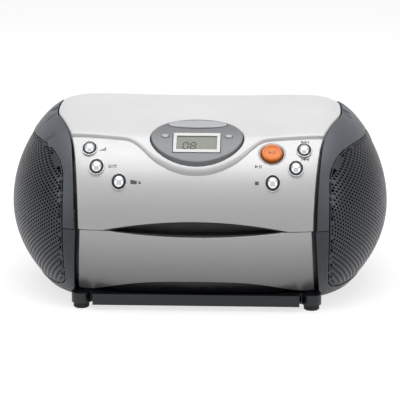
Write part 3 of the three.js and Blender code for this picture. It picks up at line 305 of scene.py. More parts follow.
MATS = {
    "white_gloss": finish_of("white_gloss", "ececec", "e6e6e7", (0.16, 0.24),
                             coat=0.4, grain=500, depth=0.03),
    "silver_paint": silver_paint(),
    # slate and grey_shell are one trim plastic: grey_shell is a darker copy, painted shade for the lower
    # shell below the waist, which faces down.
    "slate": finish_of("slate", "575c63", "52575e", (0.36, 0.46), grain=1500, depth=0.2),
    "grey_shell": finish_of("grey_shell", "3f454c", "3a4047", (0.38, 0.48), grain=1500, depth=0.2),
    "black_plastic": finish_of("black_plastic", "17191c", "121417", (0.34, 0.46), grain=1400, depth=0.2),
    "plinth_black": finish_of("plinth_black", "171b20", "13171b", (0.3, 0.4), grain=1400, depth=0.15),
    "grille_rim": finish_of("grille_rim", "2c2f33", "282b2f", (0.4, 0.5), grain=1500, depth=0.1),
    # cloth: near-black, as painted shade seen through the grille's holes.
    "cloth": finish_of("cloth", "0b0b0c", "070708", (0.85, 0.95), grain=1500, depth=0.5, spec=0.1),
    "grille_metal": finish_of("grille_metal", "484a4e", "424448", (0.3, 0.36),
                              metal=0.75, grain=2200, depth=0.1),
    "chrome": finish_of("chrome", "e4e6e8", "dcdfe2", (0.05, 0.09), metal=1.0, grain=300, depth=0.01),
    "orange_plastic": finish_of("orange_plastic", "fb8424", "f77f1e", (0.3, 0.34),
                                coat=0.1, grain=900, depth=0.05),
    "pod_grey": finish_of("pod_grey", "7f8184", "7b7d80", (0.33, 0.36), metal=0.2, grain=1200, depth=0.08),
    "pale_frame": finish_of("pale_frame", "f0f0ee", "eaeae8", (0.25, 0.35), grain=900, depth=0.05),
    "release_pale": finish_of("release_pale", "bfc1c3", "bbbdbf", (0.28, 0.3), grain=900, depth=0.04),
    "lcd": finish_of("lcd", "878c80", "82877b", (0.12, 0.18), grain=700, depth=0.01),
    "lamp": finish_of("lamp", "b9bcbe", "a9acaf", (0.12, 0.2), grain=700, depth=0.05),
    "rubber": finish_of("rubber", "1b1c1e", "202124", (0.65, 0.8), grain=1900, depth=0.35),
    "steel": brushed("steel", "b8babd"),
    "board": finish_of("board", "2f5d3a", "3a6b40", (0.4, 0.55), grain=600, depth=0.1, cloud=90),
    "cone_paper": finish_of("cone_paper", "26272a", "1e1f21", (0.75, 0.9), grain=1200, depth=0.6, cloud=120),
    "ferrite": finish_of("ferrite", "34353a", "2c2d31", (0.5, 0.65), grain=900, depth=0.3),
    "gear_plastic": finish_of("gear_plastic", "e3ddc9", "dad3bd", (0.35, 0.45), grain=900, depth=0.1),
    "copper": brushed("copper", "b87344", (0.3, 0.45)),
    "optic": finish_of("optic", "3c4c74", "33406a", (0.04, 0.08), grain=300, depth=0.01, coat=1.0),
    "orange_deep": finish_of("orange_deep", "c9591a", "c05316", (0.35, 0.45), grain=900, depth=0.05),
    "print_grey": finish_of("print_grey", "55585c", "4d5054", (0.45, 0.55), grain=900, depth=0.05),
    "segment": finish_of("segment", "15170f", "12140e", (0.3, 0.4), grain=900, depth=0.05),
}
SLOT_OF = {part["node"]: part["material_slot"] for part in frame["record"]["subparts"]}


# ---- meshes -----------------------------------------------------------------
WELD = 0.001
CREASE = 38
SHARP, ON_SKIN, ALONG_SKIN = 0.88, 0.93, 0.5  # cosines between normals
CORNERS_OFF, MIDDLES_OFF, CLOSE_BY, THIN_OFF = 1.3, 1.8, 0.35, 0.5  # distances from the smooth form


def welded(node):
    """A CAD part's points in mm and its triangles, with equal points joined."""
    mesh = NODES[node].data
    mesh.calc_loop_triangles()
    p = np.empty(len(mesh.vertices) * 3)
    mesh.vertices.foreach_get("co", p)
    t = np.empty(len(mesh.loop_triangles) * 3, np.int32)
    mesh.loop_triangles.foreach_get("vertices", t)
    p = p.reshape(-1, 3) / MM
    _, first, back = np.unique(np.round(p / WELD).astype(np.int64), axis=0, return_index=True,
                               return_inverse=True)
    t = back.reshape(-1)[t].reshape(-1, 3)
    return p[first], t[(t[:, 0] != t[:, 1]) & (t[:, 1] != t[:, 2]) & (t[:, 2] != t[:, 0])]


def face_normals(p, t):
    """Each triangle's normal and area."""
    n = np.cross(p[t[:, 1]] - p[t[:, 0]], p[t[:, 2]] - p[t[:, 0]])
    size = np.linalg.norm(n, axis=1)
    return n / np.maximum(size, 1e-12)[:, None], size / 2


def edges_of(t):
    """Each edge once, its number for each triangle's sides, and its two triangles (-1 for none)."""
    sides = np.sort(np.stack([t, np.roll(t, -1, axis=1)], axis=2).reshape(-1, 2), axis=1)
    key = sides[:, 0].astype(np.int64) * (int(t.max()) + 1) + sides[:, 1]
    _, first, number = np.unique(key, return_index=True, return_inverse=True)
    edges, number = sides[first], number.reshape(-1)
    order = np.argsort(number, kind="stable")
    starts = np.searchsorted(number[order], np.arange(len(edges)))
    ends = np.append(starts[1:], len(order))
    one = order[starts] // 3
    two = np.where(ends - starts > 1, order[np.minimum(starts + 1, len(order) - 1)] // 3, -1)
    return edges, number.reshape(-1, 3), np.column_stack([one, two])


def mark_skin(p, t, inset):
    """Says which triangles lie on the housing's outer surface at that inset."""
    def gap(q):
        return np.linalg.norm(on_skin(q, inset) - q, axis=1)
    off = gap(p)[t].max(axis=1)
    middles = p[t].mean(axis=1)
    sides = gap((p[t] + p[np.roll(t, -1, axis=1)]).reshape(-1, 3) / 2).reshape(-1, 3).max(axis=1)
    normals, _ = face_normals(p, t)
    match = (normals * skin_normal(middles, inset)).sum(axis=1)
    thin = slivers(p, t)
    near = (off < CORNERS_OFF) & (np.maximum(gap(middles), sides) < MIDDLES_OFF)
    along = (off < CLOSE_BY) & (match > ALONG_SKIN)
    dished = (dish_place(middles)[0] < DISH_RADIUS) & ((match > ALONG_SKIN) | thin)
    return near & ((match > ON_SKIN) | along | (thin & (off < THIN_OFF)) | dished)


def dish_place(q):
    """Distance of places from the middle of the play button's dish, and the way outward from it."""
    panel = skin_frame(*PLAY_PLACE)
    turn, middle = np.array(panel.to_3x3()), np.array(panel.translation)
    flat = (q - middle) @ turn
    away = flat * [1, 1, 0]
    far = np.linalg.norm(away, axis=1)
    return far + np.where(np.abs(flat[:, 2]) < 3, 0, 99), (away / np.maximum(far, 1e-9)[:, None]) @ turn.T


def sunk_dish(p, normals):
    """The dish pressed into the panel round the play button: a flat floor and a soft slope."""
    far, away = dish_place(p)
    s = np.clip((DISH_RADIUS - far) / DISH_SLOPE, 0, 1)
    slope = -6 * s * (1 - s) / DISH_SLOPE * DISH_DEPTH
    turned = normals + away * slope[:, None]
    sunk = p - normals * (DISH_DEPTH * s * s * (3 - 2 * s))[:, None]
    return sunk, turned / np.linalg.norm(turned, axis=1)[:, None]


def slivers(p, t):
    """Triangles so thin that their own normals mean nothing."""
    _, area = face_normals(p, t)
    length = np.linalg.norm(p[t] - p[np.roll(t, -1, axis=1)], axis=2).max(axis=1)
    return 2 * area < 0.05 * length


def set_normals(mesh, crease=CREASE, skin=None, point_normals=None):
    """Normals smooth up to the crease angle; on the faces marked as skin, the given ones."""
    loops, faces = len(mesh.loops), len(mesh.polygons)
    point, total = np.empty(loops, np.int32), np.empty(faces, np.int32)
    mesh.loops.foreach_get("vertex_index", point)
    mesh.polygons.foreach_get("loop_total", total)
    normal, area = np.empty(faces * 3), np.empty(faces)
    mesh.polygons.foreach_get("normal", normal)
    mesh.polygons.foreach_get("area", area)
    normal = normal.reshape(-1, 3)
    face = np.repeat(np.arange(faces), total)
    order = np.argsort(point, kind="stable")
    count = np.bincount(point, minlength=len(mesh.vertices))
    begin = np.cumsum(count) - count
    reps = count[point]
    corner = np.repeat(np.arange(loops), reps)
    step = np.arange(len(corner)) - np.repeat(np.cumsum(reps) - reps, reps)
    near = face[order[begin[point][corner] + step]]
    weight = area[near] * ((normal[near] * normal[face[corner]]).sum(axis=1) > math.cos(math.radians(crease)))
    out = np.column_stack([np.bincount(corner, normal[near, k] * weight, loops) for k in range(3)])
    size = np.linalg.norm(out, axis=1)
    out = np.where(size[:, None] > 1e-14, out / np.maximum(size, 1e-14)[:, None], normal[face])
    if skin is not None:
        on = skin[face]
        out[on] = point_normals[point[on]]
    mesh.shade_smooth()
    mesh.normals_split_custom_set(out.tolist())


def piece(name, mesh, body, mat, replaces=()):
    """An object of that mesh and material, riding on its body."""
    obj = bpy.data.objects.new(name, mesh)
    bpy.context.scene.collection.objects.link(obj)
    mesh.materials.clear()
    mesh.materials.append(MATS[mat])
    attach(obj, body)
    if replaces:
        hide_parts(*replaces)
    return obj


def borders(p, t, skin):
    """The edges between the outer skin and other faces, the other face of each, and whether it is sharp."""
    edges, _, pair = edges_of(t)
    one, two = pair[:, 0], pair[:, 1]
    between = (two >= 0) & (skin[one] != skin[two])
    edges, one, two = edges[between], one[between], two[between]
    normals, _ = face_normals(p, t)
    sharp = (normals[one] * normals[two]).sum(axis=1) < SHARP
    thin = slivers(p, t)
    return edges, np.where(skin[one], two, one), sharp | thin[one] | thin[two]


def rims(p, t, skin):
    """The sharp borders of the skin, with the wall triangle of each."""
    edges, walls, sharp = borders(p, t, skin)
    return edges[sharp], walls[sharp]


def near_rim(p, edges, wanted, step=0.2):
    """For each wanted point, the nearest point on the edges: its place, distance, edge and share along it."""
    a, b = p[edges[:, 0]], p[edges[:, 1]]
    count = np.maximum(1, (np.linalg.norm(b - a, axis=1) / step).astype(int)) + 1
    which = np.repeat(np.arange(len(edges)), count)
    share = (np.arange(len(which)) - np.repeat(np.cumsum(count) - count, count)) / (count[which] - 1)
    points = a[which] + (b - a)[which] * share[:, None]
    tree = KDTree(len(points))
    for i, q in enumerate(points.tolist()):
        tree.insert(q, i)
    tree.balance()
    found = [tree.find(q)[1:] for q in wanted.tolist()]
    near = np.array([i for i, _ in found], int)
    return points[near], np.array([far for _, far in found]), which[near], share[near]


def lay_on_skin(p, t, skin, flag, inset, first=0):
    """Moves the skin's points, from the first on, onto the smooth surface.

    Points on cut edges move along an axis, and the others along their rays.
    """
    edge, fresh = np.zeros(len(p), bool), np.arange(len(p)) >= first
    edge[borders(p, t, skin)[0].reshape(-1)] = True
    for chosen, project in ((flag & fresh & ~edge, on_skin), (flag & fresh & edge, along_axis)):
        if chosen.any():
            p[chosen] = project(p[chosen], inset)


def split_long(p, t, skin, flag, limit):
    """Halves the skin's edges that are longer than limit(edges); returns the finer mesh, or None."""
    edges, number, pair = edges_of(t)
    length = np.linalg.norm(p[edges[:, 0]] - p[edges[:, 1]], axis=1)
    on = skin[pair[:, 0]] | (skin[pair[:, 1]] & (pair[:, 1] >= 0))
    cut = on & flag[edges].all(axis=1) & (length > limit(edges))
    if not cut.any():
        return None
    middle = np.full(len(edges), -1)
    middle[cut] = len(p) + np.arange(cut.sum())
    p = np.vstack([p, p[edges[cut]].mean(axis=1)])
    flag = np.append(flag, np.ones(cut.sum(), bool))
    mid = middle[number]
    count = (mid >= 0).sum(axis=1)
    new, kept = [t[count == 0]], [skin[count == 0]]

    def turned(rows, first):
        at = (first[:, None] + np.arange(3)) % 3
        return np.take_along_axis(t[rows], at, axis=1), np.take_along_axis(mid[rows], at, axis=1)

    def add(rows, *triangles):
        for tri in triangles:
            new.append(np.column_stack(tri))
            kept.append(skin[rows])

    rows = np.flatnonzero(count == 1)
    (a, b, c), (m, _, _) = (x.T for x in turned(rows, (mid[rows] >= 0).argmax(axis=1)))
    add(rows, (a, m, c), (m, b, c))
    rows = np.flatnonzero(count == 2)
    (a, b, c), (_, m, k) = (x.T for x in turned(rows, (mid[rows] < 0).argmax(axis=1)))
    near = np.linalg.norm(p[a] - p[m], axis=1) < np.linalg.norm(p[b] - p[k], axis=1)
    add(rows, (a, b, np.where(near, m, k)), (np.where(near, a, b), m, k), (k, m, c))
    rows = np.flatnonzero(count == 3)
    (a, b, c), (m, k, j) = t[rows].T, mid[rows].T
    add(rows, (a, m, j), (m, b, k), (j, k, c), (m, k, j))
    return p, np.vstack(new), np.concatenate(kept), flag


def rounded_rims(p, t, skin, flag, inset, radius, group=None):
    """Rounds the skin's sharp edges: points sink along the cut wall by their distance from the rim."""
    edges, walls = rims(p, t, skin)
    plain = skin_normal(p, inset)
    face, area = face_normals(p, t)
    area = np.where(slivers(p, t), 0, area) + 1e-9
    kind = np.zeros(len(edges), int) if group is None else group(p[edges].mean(axis=1)).astype(int)
    sunk, turned = p.copy(), plain.copy()
    for k in np.unique(kind):
        rim, wall = edges[kind == k], walls[kind == k]
        out = np.zeros_like(p)
        for side in (0, 1):
            np.add.at(out, rim[:, side], face[wall] * area[wall][:, None])
        out /= np.maximum(np.linalg.norm(out, axis=1), 1e-12)[:, None]
        rows = np.flatnonzero(flag)
        place, far, edge, share = near_rim(p, rim, p[rows])
        r = radius(place)
        close = far < r
        rows, far, r, edge, share = rows[close], far[close], r[close], edge[close], share[close][:, None]
        n = plain[rows]
        m = out[rim[edge, 0]] * (1 - share) + out[rim[edge, 1]] * share
        m /= np.maximum(np.linalg.norm(m, axis=1), 1e-9)[:, None]
        down = m * (m * n).sum(axis=1)[:, None] - n
        down /= np.maximum(np.linalg.norm(down, axis=1), 0.3)[:, None]
        lean = (1 - far / r)[:, None]
        rise = np.sqrt(np.maximum(0, 1 - lean ** 2))
        sunk[rows] += down * r[:, None] * (1 - rise)
        turned[rows] += n * (rise - 1) + m * lean
    return sunk, turned / np.maximum(np.linalg.norm(turned, axis=1), 1e-9)[:, None]


def resurfaced(node, name, inset, mat, radius, group=None, dish=False, step=4.0):
    """A finer copy of a skin part: its outer faces are laid on the smooth form and its edges are rounded."""
    p, t = welded(node)
    skin = mark_skin(p, t, inset)
    flag = np.zeros(len(p), bool)
    flag[t[skin].reshape(-1)] = True
    lay_on_skin(p, t, skin, flag, inset)
    for _ in range(7):
        finer = split_long(p, t, skin, flag, lambda edges: step)
        if finer is None:
            break
        first = len(p)
        p, t, skin, flag = finer
        lay_on_skin(p, t, skin, flag, inset, first)
    first, far, size = 0, np.zeros(0), np.zeros(0)
    for _ in range(5):
        place, gap, _, _ = near_rim(p, rims(p, t, skin)[0], p[first:])
        far, size = np.append(far, gap), np.append(size, radius(place))
        slope = np.abs(dish_place(p)[0] - DISH_MIDDLE) < 1.4 if dish else np.zeros(len(p), bool)

        def limit(edges):
            gap, r = far[edges].min(axis=1), size[edges].min(axis=1)
            close = np.where(r < 0.4, 0.8, np.maximum(0.55 * r, 0.42))
            most = np.where(gap < r + 0.05, close, np.maximum(0.9, gap * 1.4))
            return np.where(slope[edges].any(axis=1), np.minimum(most, 0.6), most)

        finer = split_long(p, t, skin, flag, limit)
        if finer is None:
            break
        first = len(p)
        p, t, skin, flag = finer
        lay_on_skin(p, t, skin, flag, inset, first)
    sunk, normals = rounded_rims(p, t, skin, flag, inset, radius, group)
    if dish:
        sunk[flag], normals[flag] = sunk_dish(sunk[flag], normals[flag])
    p = np.clip(sunk, np.array(CAD_BOX[0]) / MM, np.array(CAD_BOX[1]) / MM)
    mesh = bpy.data.meshes.new(name)
    mesh.from_pydata((p * MM).tolist(), [], t.tolist())
    set_normals(mesh, CREASE, skin, normals)
    return piece(name, mesh, BODY_OF[node], mat, [node])


def smooth_copy(node, name, mat):
    """The CAD part with its round faces shaded round."""
    p, t = welded(node)
    mesh = bpy.data.meshes.new(name)
    mesh.from_pydata((p * MM).tolist(), [], t.tolist())
    set_normals(mesh)
    return piece(name, mesh, BODY_OF[node], mat, [node])


def mesh_of(name, points, faces, crease):
    """A mesh of points in mm, with equal points joined and its faces turned outward."""
    mesh = bpy.data.meshes.new(name)
    mesh.from_pydata((np.asarray(points) * MM).tolist(), [], faces)
    bm = bmesh.new()
    bm.from_mesh(mesh)
    bmesh.ops.remove_doubles(bm, verts=bm.verts, dist=1e-7)
    bmesh.ops.recalc_face_normals(bm, faces=bm.faces)
    bm.to_mesh(mesh)
    bm.free()
    set_normals(mesh, crease)
    return mesh


def lathe(name, profile, matrix, scale=(1, 1), sides=48, crease=30):
    """A profile of (radius, height) turned round Z, stretched by scale and placed by matrix."""
    points, faces = [], []
    for r, h in profile:
        for i in range(sides):
            a = 2 * math.pi * i / sides
            points.append(matrix @ Vector((r * scale[0] * math.cos(a), r * scale[1] * math.sin(a), h)))
    for k in range(len(profile) - 1):
        for i in range(sides):
            j = (i + 1) % sides
            faces.append((k * sides + i, k * sides + j, (k + 1) * sides + j, (k + 1) * sides + i))
    return mesh_of(name, points, faces, crease)


# ---- outer skins ------------------------------------------------------------
POD_MIDDLE_Y, POD_HALF = -73, (37.5, 22.8)
TONGUE_END, TONGUE_FADE, TONGUE_BACK_Y = 62, 34, -64


def round_pod(place):
    """Whether places lie on the lid's hole for the display rather than on its outer edge."""
    return (place[:, 0] / POD_HALF[0]) ** 2 + ((place[:, 1] - POD_MIDDLE_Y) / POD_HALF[1]) ** 2 < 1


def lid_radius(place):
    """The lid's edge is rounder where its tongue rolls over under the display."""
    tongue = np.clip((TONGUE_END - np.abs(place[:, 0])) / TONGUE_FADE, 0, 1) * (place[:, 1] < TONGUE_BACK_Y)
    outer = 1.0 + 1.2 * tongue * tongue * (3 - 2 * tongue)
    return np.where(round_pod(place), 0.4, outer)


def shell_radius(sign, size):
    """A crisp edge along the waist seam and a rounder one round the trim."""
    return lambda place: np.where(sign * (place[:, 2] - WAIST_Z) < 1, 0.3, size)


def even(size):
    """The same edge radius everywhere."""
    return lambda place: np.full(len(place), size)


SKINS = [
    ("cd_lid", "lid_gloss_shell", 0.0, "white_gloss", lid_radius),
    ("upper_front_panel", "front_fascia_upper", PANEL_INSET, "silver_paint", even(0.5)),
    ("lower_front_panel", "front_fascia_lower", PANEL_INSET, "silver_paint", even(0.5)),
    ("upper_shell", "housing_shell_upper", 0.0, "slate", shell_radius(1, 0.8)),
    # The lower shell takes the darker copy of the trim plastic as painted shade.
    ("lower_shell", "housing_shell_lower", 0.0, "grey_shell", shell_radius(-1, 0.8)),
    ("display_pod", "display_pod_bezel", -POD_PROUD, "pod_grey", even(0.7)),
]
for node, name, inset, mat, radius in SKINS:
    resurfaced(node, name, inset, mat, radius, round_pod if node == "cd_lid" else None,
               node == "upper_front_panel")


# ---- perforated grilles -----------------------------------------------------
HOLE_PITCH, HOLE_RADIUS = 3.0, 0.9
COLUMN = HOLE_PITCH * math.sqrt(3) / 2
SHEET, RIM_WIDTH, RIM_PROUD, RIM_SINK = 0.8, 1.1, 0.1, 1.3
CLOTH_GAP, CLOTH_THICK, CLOTH_RINGS = 0.1, 0.3, 26
SIDE_MIDDLE = np.array([-45.0, 68.0])


def resampled(loop, step):
    """The closed loop with its points about a step apart."""
    closed = np.vstack([loop, loop[:1]])
    along = np.concatenate([[0], np.cumsum(np.linalg.norm(np.diff(closed, axis=0), axis=1))])
    at = np.linspace(0, along[-1], int(along[-1] / step), endpoint=False)
    return np.stack([np.interp(at, along, closed[:, k]) for k in range(3)], axis=1)


def side_point(yz, inset):
    """Points on the right side of the form over places (y, z)."""
    x = last_inside(len(yz), 40.0, 160.0, 36, lambda far: level(np.column_stack([far, yz]), inset) < 1)
    return np.column_stack([x, yz])


def inside_by(loop, yz):
    """Signed distance from places (y, z) to a closed outline, positive inside."""
    a, b = loop, np.roll(loop, -1, axis=0)
    d = b - a
    t = np.clip(((yz[:, None] - a) * d).sum(2) / np.maximum((d * d).sum(1), 1e-9), 0, 1)
    far = np.linalg.norm(yz[:, None] - a - t[..., None] * d, axis=2).min(1)
    crosses = (a[:, 1] > yz[:, None, 1]) != (b[:, 1] > yz[:, None, 1])
    x = a[:, 0] + (yz[:, None, 1] - a[:, 1]) * d[:, 0] / np.where(d[:, 1] == 0, 1e-9, d[:, 1])
    return np.where((crosses & (yz[:, None, 0] < x)).sum(1) % 2 == 1, far, -far)


def column_places(inset):
    """A function from a column's number to its y, with the columns even along the skin at the waist."""
    y = np.linspace(-125, 40, 1400)
    points = side_point(np.column_stack([y, np.full_like(y, WAIST_Z)]), inset)
    along = np.concatenate([[0], np.cumsum(np.linalg.norm(np.diff(points, axis=0), axis=1))])
    return lambda u: np.interp(u * COLUMN, along, y)


def perforated_sheet(loop, inset):
    """A pressed sheet with round holes in staggered columns, inside the outline: points and faces."""
    y_at = column_places(inset)
    outline = loop[:, 1:]
    centres = [(i, j + 0.5 * (i % 2)) for i in range(80) for j in range(-22, 23)]
    yz = np.array([(y_at(i), WAIST_Z + j * HOLE_PITCH) for i, j in centres])
    depth = inside_by(outline, yz)
    keys, flat, faces = {}, [], []

    def corner(u, v):
        key = (round(u * 12), round(v * 12))
        if key not in keys:
            keys[key] = len(flat)
            flat.append((float(y_at(u)), WAIST_Z + v * HOLE_PITCH))
        return keys[key]

    rim = [(2 / 3, 0), (0.5, 0.25), (1 / 3, 0.5), (0, 0.5), (-1 / 3, 0.5), (-0.5, 0.25),
           (-2 / 3, 0), (-0.5, -0.25), (-1 / 3, -0.5), (0, -0.5), (1 / 3, -0.5), (0.5, -0.25)]
    for (i, j), inside in zip(centres, depth):
        if inside < 0.6:
            continue
        outer = [corner(i + u, j + v) for u, v in rim]
        if inside < RIM_WIDTH:
            faces.append(outer)
            continue
        first = len(flat)
        for k in range(12):
            a = math.pi * k / 6
            flat.append((float(y_at(i + HOLE_RADIUS * math.cos(a) / COLUMN)), WAIST_Z + j * HOLE_PITCH
                         + HOLE_RADIUS * math.sin(a)))
        for k in range(12):
            n = (k + 1) % 12
            faces.append([outer[k], outer[n], first + n, first + k])
    top = side_point(np.array(flat), inset)
    low = top - skin_normal(top, inset) * SHEET
    size = len(flat)
    used = dict.fromkeys((a, b) for f in faces for a, b in zip(f, f[1:] + f[:1]))
    edges = [(a, b) for a, b in used if (b, a) not in used]
    back = [[v + size for v in reversed(f)] for f in faces]
    sides = [[b, a, a + size, b + size] for a, b in edges]
    return np.vstack([top, low]), faces + back + sides


def grille_rim(loop, inset):
    """A smooth flat rim round the sheet, turned down at both edges."""
    n = skin_normal(loop, inset)
    tangent = np.roll(loop, -1, axis=0) - np.roll(loop, 1, axis=0)
    inward = np.cross(n, tangent)
    inward /= np.linalg.norm(inward, axis=1)[:, None]
    section = ((0.15, -RIM_SINK), (0.0, -0.5), (0.1, -0.1), (0.45, RIM_PROUD), (RIM_WIDTH - 0.25, RIM_PROUD),
               (RIM_WIDTH, RIM_PROUD - 0.2), (RIM_WIDTH, -RIM_SINK))
    rings = []
    for across, height in section:
        base = on_skin(loop + inward * across, inset)
        rings.append(base + skin_normal(base, inset) * height)
    count, faces = len(loop), []
    for k in range(len(rings)):
        m = (k + 1) % len(rings)
        for i in range(count):
            j = (i + 1) % count
            faces.append([k * count + i, k * count + j, m * count + j, m * count + i])
    return np.vstack(rings), faces


def grille_outline(inset, count=720):
    """The grille's outline on the skin, found along rays from the middle of the side."""
    turn = np.linspace(0, 2 * math.pi, count, endpoint=False)
    way = np.column_stack([np.cos(turn), np.sin(turn)])

    def at(far):
        return side_point(SIDE_MIDDLE + way * far[:, None], inset)
    return at(last_inside(count, 5.0, 110.0, 36, lambda far: grille_depth(at(far)) > 0))


def grille_shade_cloth(loop, inset):
    """A thin cloth behind the sheet, near-black as painted shade for its holes, in rings that shrink to a
    small hole at its middle.
    """
    middle = side_point(loop[:, 1:].mean(axis=0)[None], inset)[0]
    rings, faces, count = [], [], len(loop)
    shares = np.linspace(0.985, 0.02, CLOTH_RINGS)
    for depth in (SHEET + CLOTH_GAP, SHEET + (CLOTH_GAP + CLOTH_THICK)):
        for share in shares:
            flat = middle[1:] + (loop[:, 1:] - middle[1:]) * share
            base = side_point(flat, inset)
            rings.append(base - skin_normal(base, inset) * depth)
    half = len(shares)
    order = list(range(half)) + list(range(2 * half - 1, half - 1, -1))
    for a, b in zip(order, order[1:] + order[:1]):
        for i in range(count):
            j = (i + 1) % count
            faces.append([a * count + i, a * count + j, b * count + j, b * count + i])
    return np.vstack(rings), faces


def grilles():
    loop = resampled(grille_outline(GRILLE_INSET), 1.4)
    sheet, rim = perforated_sheet(loop, GRILLE_INSET), grille_rim(loop, GRILLE_INSET)
    cloth = grille_shade_cloth(resampled(loop, 4.0), GRILLE_INSET)
    layers = (("sheet", sheet, 30, "grille_metal"), ("rim", rim, 50, "grille_rim"),
              ("cloth", cloth, 30, "cloth"))
    for side, sign in (("right", 1), ("left", -1)):
        for name, (points, faces), crease, mat in layers:
            mesh = mesh_of(f"grille_{side}_{name}", points * [sign, 1, 1], faces, crease)
            stands_for = [f"grille_{side}"] if name == "sheet" else []
            piece(mesh.name, mesh, BODY_OF[f"grille_{side}"], mat, stands_for)


grilles()

# ---- buttons ----------------------------------------------------------------
BUTTON_PLACES = {
    "bass_boost_button": (-82.4, -80.6), "play_mode_button": (-76.2, -93.3),
    "folder_up_button": (-58.6, -101.0), "next_button": (82.4, -80.6),
    "back_button": (76.2, -93.3), "stop_button": (58.6, -101.0),
}
BUTTON_HALF = (5.1, 6.0)
AXIS_RADIUS, STEM_FOOT = 0.001, -8.2


def closed(profile):
    return profile + profile[:1]


def buttons():
    """A chrome dome in a black well, whose black is painted shade in the gap round the dome, inside a thin
    bright ring set in the panel.
    """
    dome = [(AXIS_RADIUS, -4.0), (0.8, -4.0), (0.8, -0.1)]
    dome += [(0.8 * math.cos(a), -0.1 + 2.7 * math.sin(a)) for a in np.linspace(0.08, 1.5, 18)]
    dome.append((AXIS_RADIUS, 2.6))
    well = [(AXIS_RADIUS, STEM_FOOT), (0.5, STEM_FOOT), (0.5, -4.6), (1.0, -4.6), (1.0, 0.0), (0.97, 0.12),
            (0.88, 0.1), (0.85, -0.3), (0.85, -4.2), (AXIS_RADIUS, -4.2)]
    ring = closed([(1.07, -0.3), (1.075, 0.16), (1.1, 0.26), (1.13, 0.22), (1.155, 0.0), (1.16, -0.3)])
    for node, place in BUTTON_PLACES.items():
        matrix, stem = skin_frame(*place), node.replace("_button", "")
        mesh = lathe(stem + "_dome", dome, matrix, BUTTON_HALF, 40, 60)
        piece(mesh.name, mesh, BODY_OF[node], "chrome", [node])
        # The well's black is painted shade: it stands for the dark gap and crescent below each dome.
        mesh = lathe(stem + "_well", well, matrix, BUTTON_HALF, 40, 40)
        piece(mesh.name, mesh, BODY_OF[node], "black_plastic", [])
        mesh = lathe(stem + "_ring", ring, matrix, BUTTON_HALF, 48, 60)
        piece(mesh.name, mesh, "housing", "chrome", [])


def play_button():
    """The orange cap with a raised ring round its hollow, and its raised symbols."""
    node, r = "play_pause_button", PLAY_RADIUS
    cap = [(AXIS_RADIUS, STEM_FOOT), (3, STEM_FOOT), (3, -4.4), (r, -4.4), (r, 0.6), (r - 0.15, 1.15),
           (r - 0.5, 1.6), (r - 1.1, 1.88), (r - 1.7, 1.86), (r - 2.2, 1.6), (r - 2.8, 1.38), (r - 3.8, 1.26),
           (r - 5, 1.21), (AXIS_RADIUS, 1.2)]
    mesh = lathe("play_pause_cap", cap, skin_frame(*PLAY_PLACE), (1, 1), 64, 50)
    piece(mesh.name, mesh, BODY_OF[node], "orange_plastic", [node])
    mesh = slab_marks("play_pause_relief", skin_frame(*PLAY_PLACE), PLAY_PAUSE, 1.5, 1.1, 1.36)
    piece(mesh.name, mesh, BODY_OF[node], "orange_deep", [])


# ---- plain marks ------------------------------------------------------------
def bar(x0, x1, y0, y1):
    return [(x0, y0), (x1, y0), (x1, y1), (x0, y1)]


def tip(x0, x1, half=1.0):
    return [(x0, -half), (x1, 0), (x0, half)]


PLAY_PAUSE = [tip(-1.7, 0.0), bar(0.5, 0.95, -1, 1), bar(1.35, 1.8, -1, 1)]
ARROWS = [bar(-2.4, 1.2, 0.35, 0.75), [(1.2, 0.0), (2.6, 0.55), (1.2, 1.1)],
          bar(-1.2, 2.4, -0.75, -0.35), [(-1.2, -1.1), (-1.2, 0.0), (-2.6, -0.55)]]
FOLDER = [[(-2.4, -1.1), (1.0, -1.1), (1.0, 0.8), (-0.6, 0.8), (-0.9, 1.2), (-2.4, 1.2)],
          [(1.6, -0.9), (3.4, -0.9), (2.5, 0.9)]]
STEPS = [bar(-1.6, -0.8, -1.1, -0.3), bar(-0.4, 0.4, -1.1, 0.3), bar(0.8, 1.6, -1.1, 1.1)]
MARK_SCALE = 1.45
MARKS = {
    "mark_bass": ((-72.5, -81.4), STEPS),
    "mark_mode": ((-64.2, -93.0), ARROWS),
    "mark_folder": ((-46.4, -101.2), FOLDER),
    "mark_stop": ((46.6, -101.2), [bar(-1.0, 1.0, -1.0, 1.0)]),
    "mark_next": ((84.0, -73.6), [tip(-2.2, -0.4), tip(-0.3, 1.5), bar(1.65, 2.1, -1, 1)]),
    "mark_back": ((84.4, -87.4), [bar(-2.1, -1.65, -1, 1), tip(0.3, -1.5), tip(2.2, 0.4)]),
    "mark_play": ((47.5, -92.6), PLAY_PAUSE),
}


def slab_marks(name, matrix, shapes, size, low, high, skin=False):
    """Flat raised shapes drawn in a frame, or on the panel's skin, from height low to high."""
    points, faces = [], []
    for shape in shapes:
        first, count = len(points), len(shape)
        flat = [matrix @ Vector((u * size, v * size, 0)) for u, v in shape]
        for height in (low, high):
            if skin:
                points.extend(on_skin(np.array([tuple(p) for p in flat]), PANEL_INSET - height))
            else:
                lift = matrix.to_3x3() @ Vector((0, 0, height))
                points.extend([tuple(p + lift) for p in flat])
        faces.append([first + i for i in range(count)][::-1])
        faces.append([first + count + i for i in range(count)])
        for i in range(count):
            j = (i + 1) % count
            faces.append([first + i, first + j, first + count + j, first + count + i])
    return mesh_of(name, points, faces, 30)


buttons()
play_button()
for name, (place, shapes) in MARKS.items():
    mesh = slab_marks(name, skin_frame(*place), shapes, MARK_SCALE, -0.1, 0.04, True)
    piece(name, mesh, "housing", "print_grey")

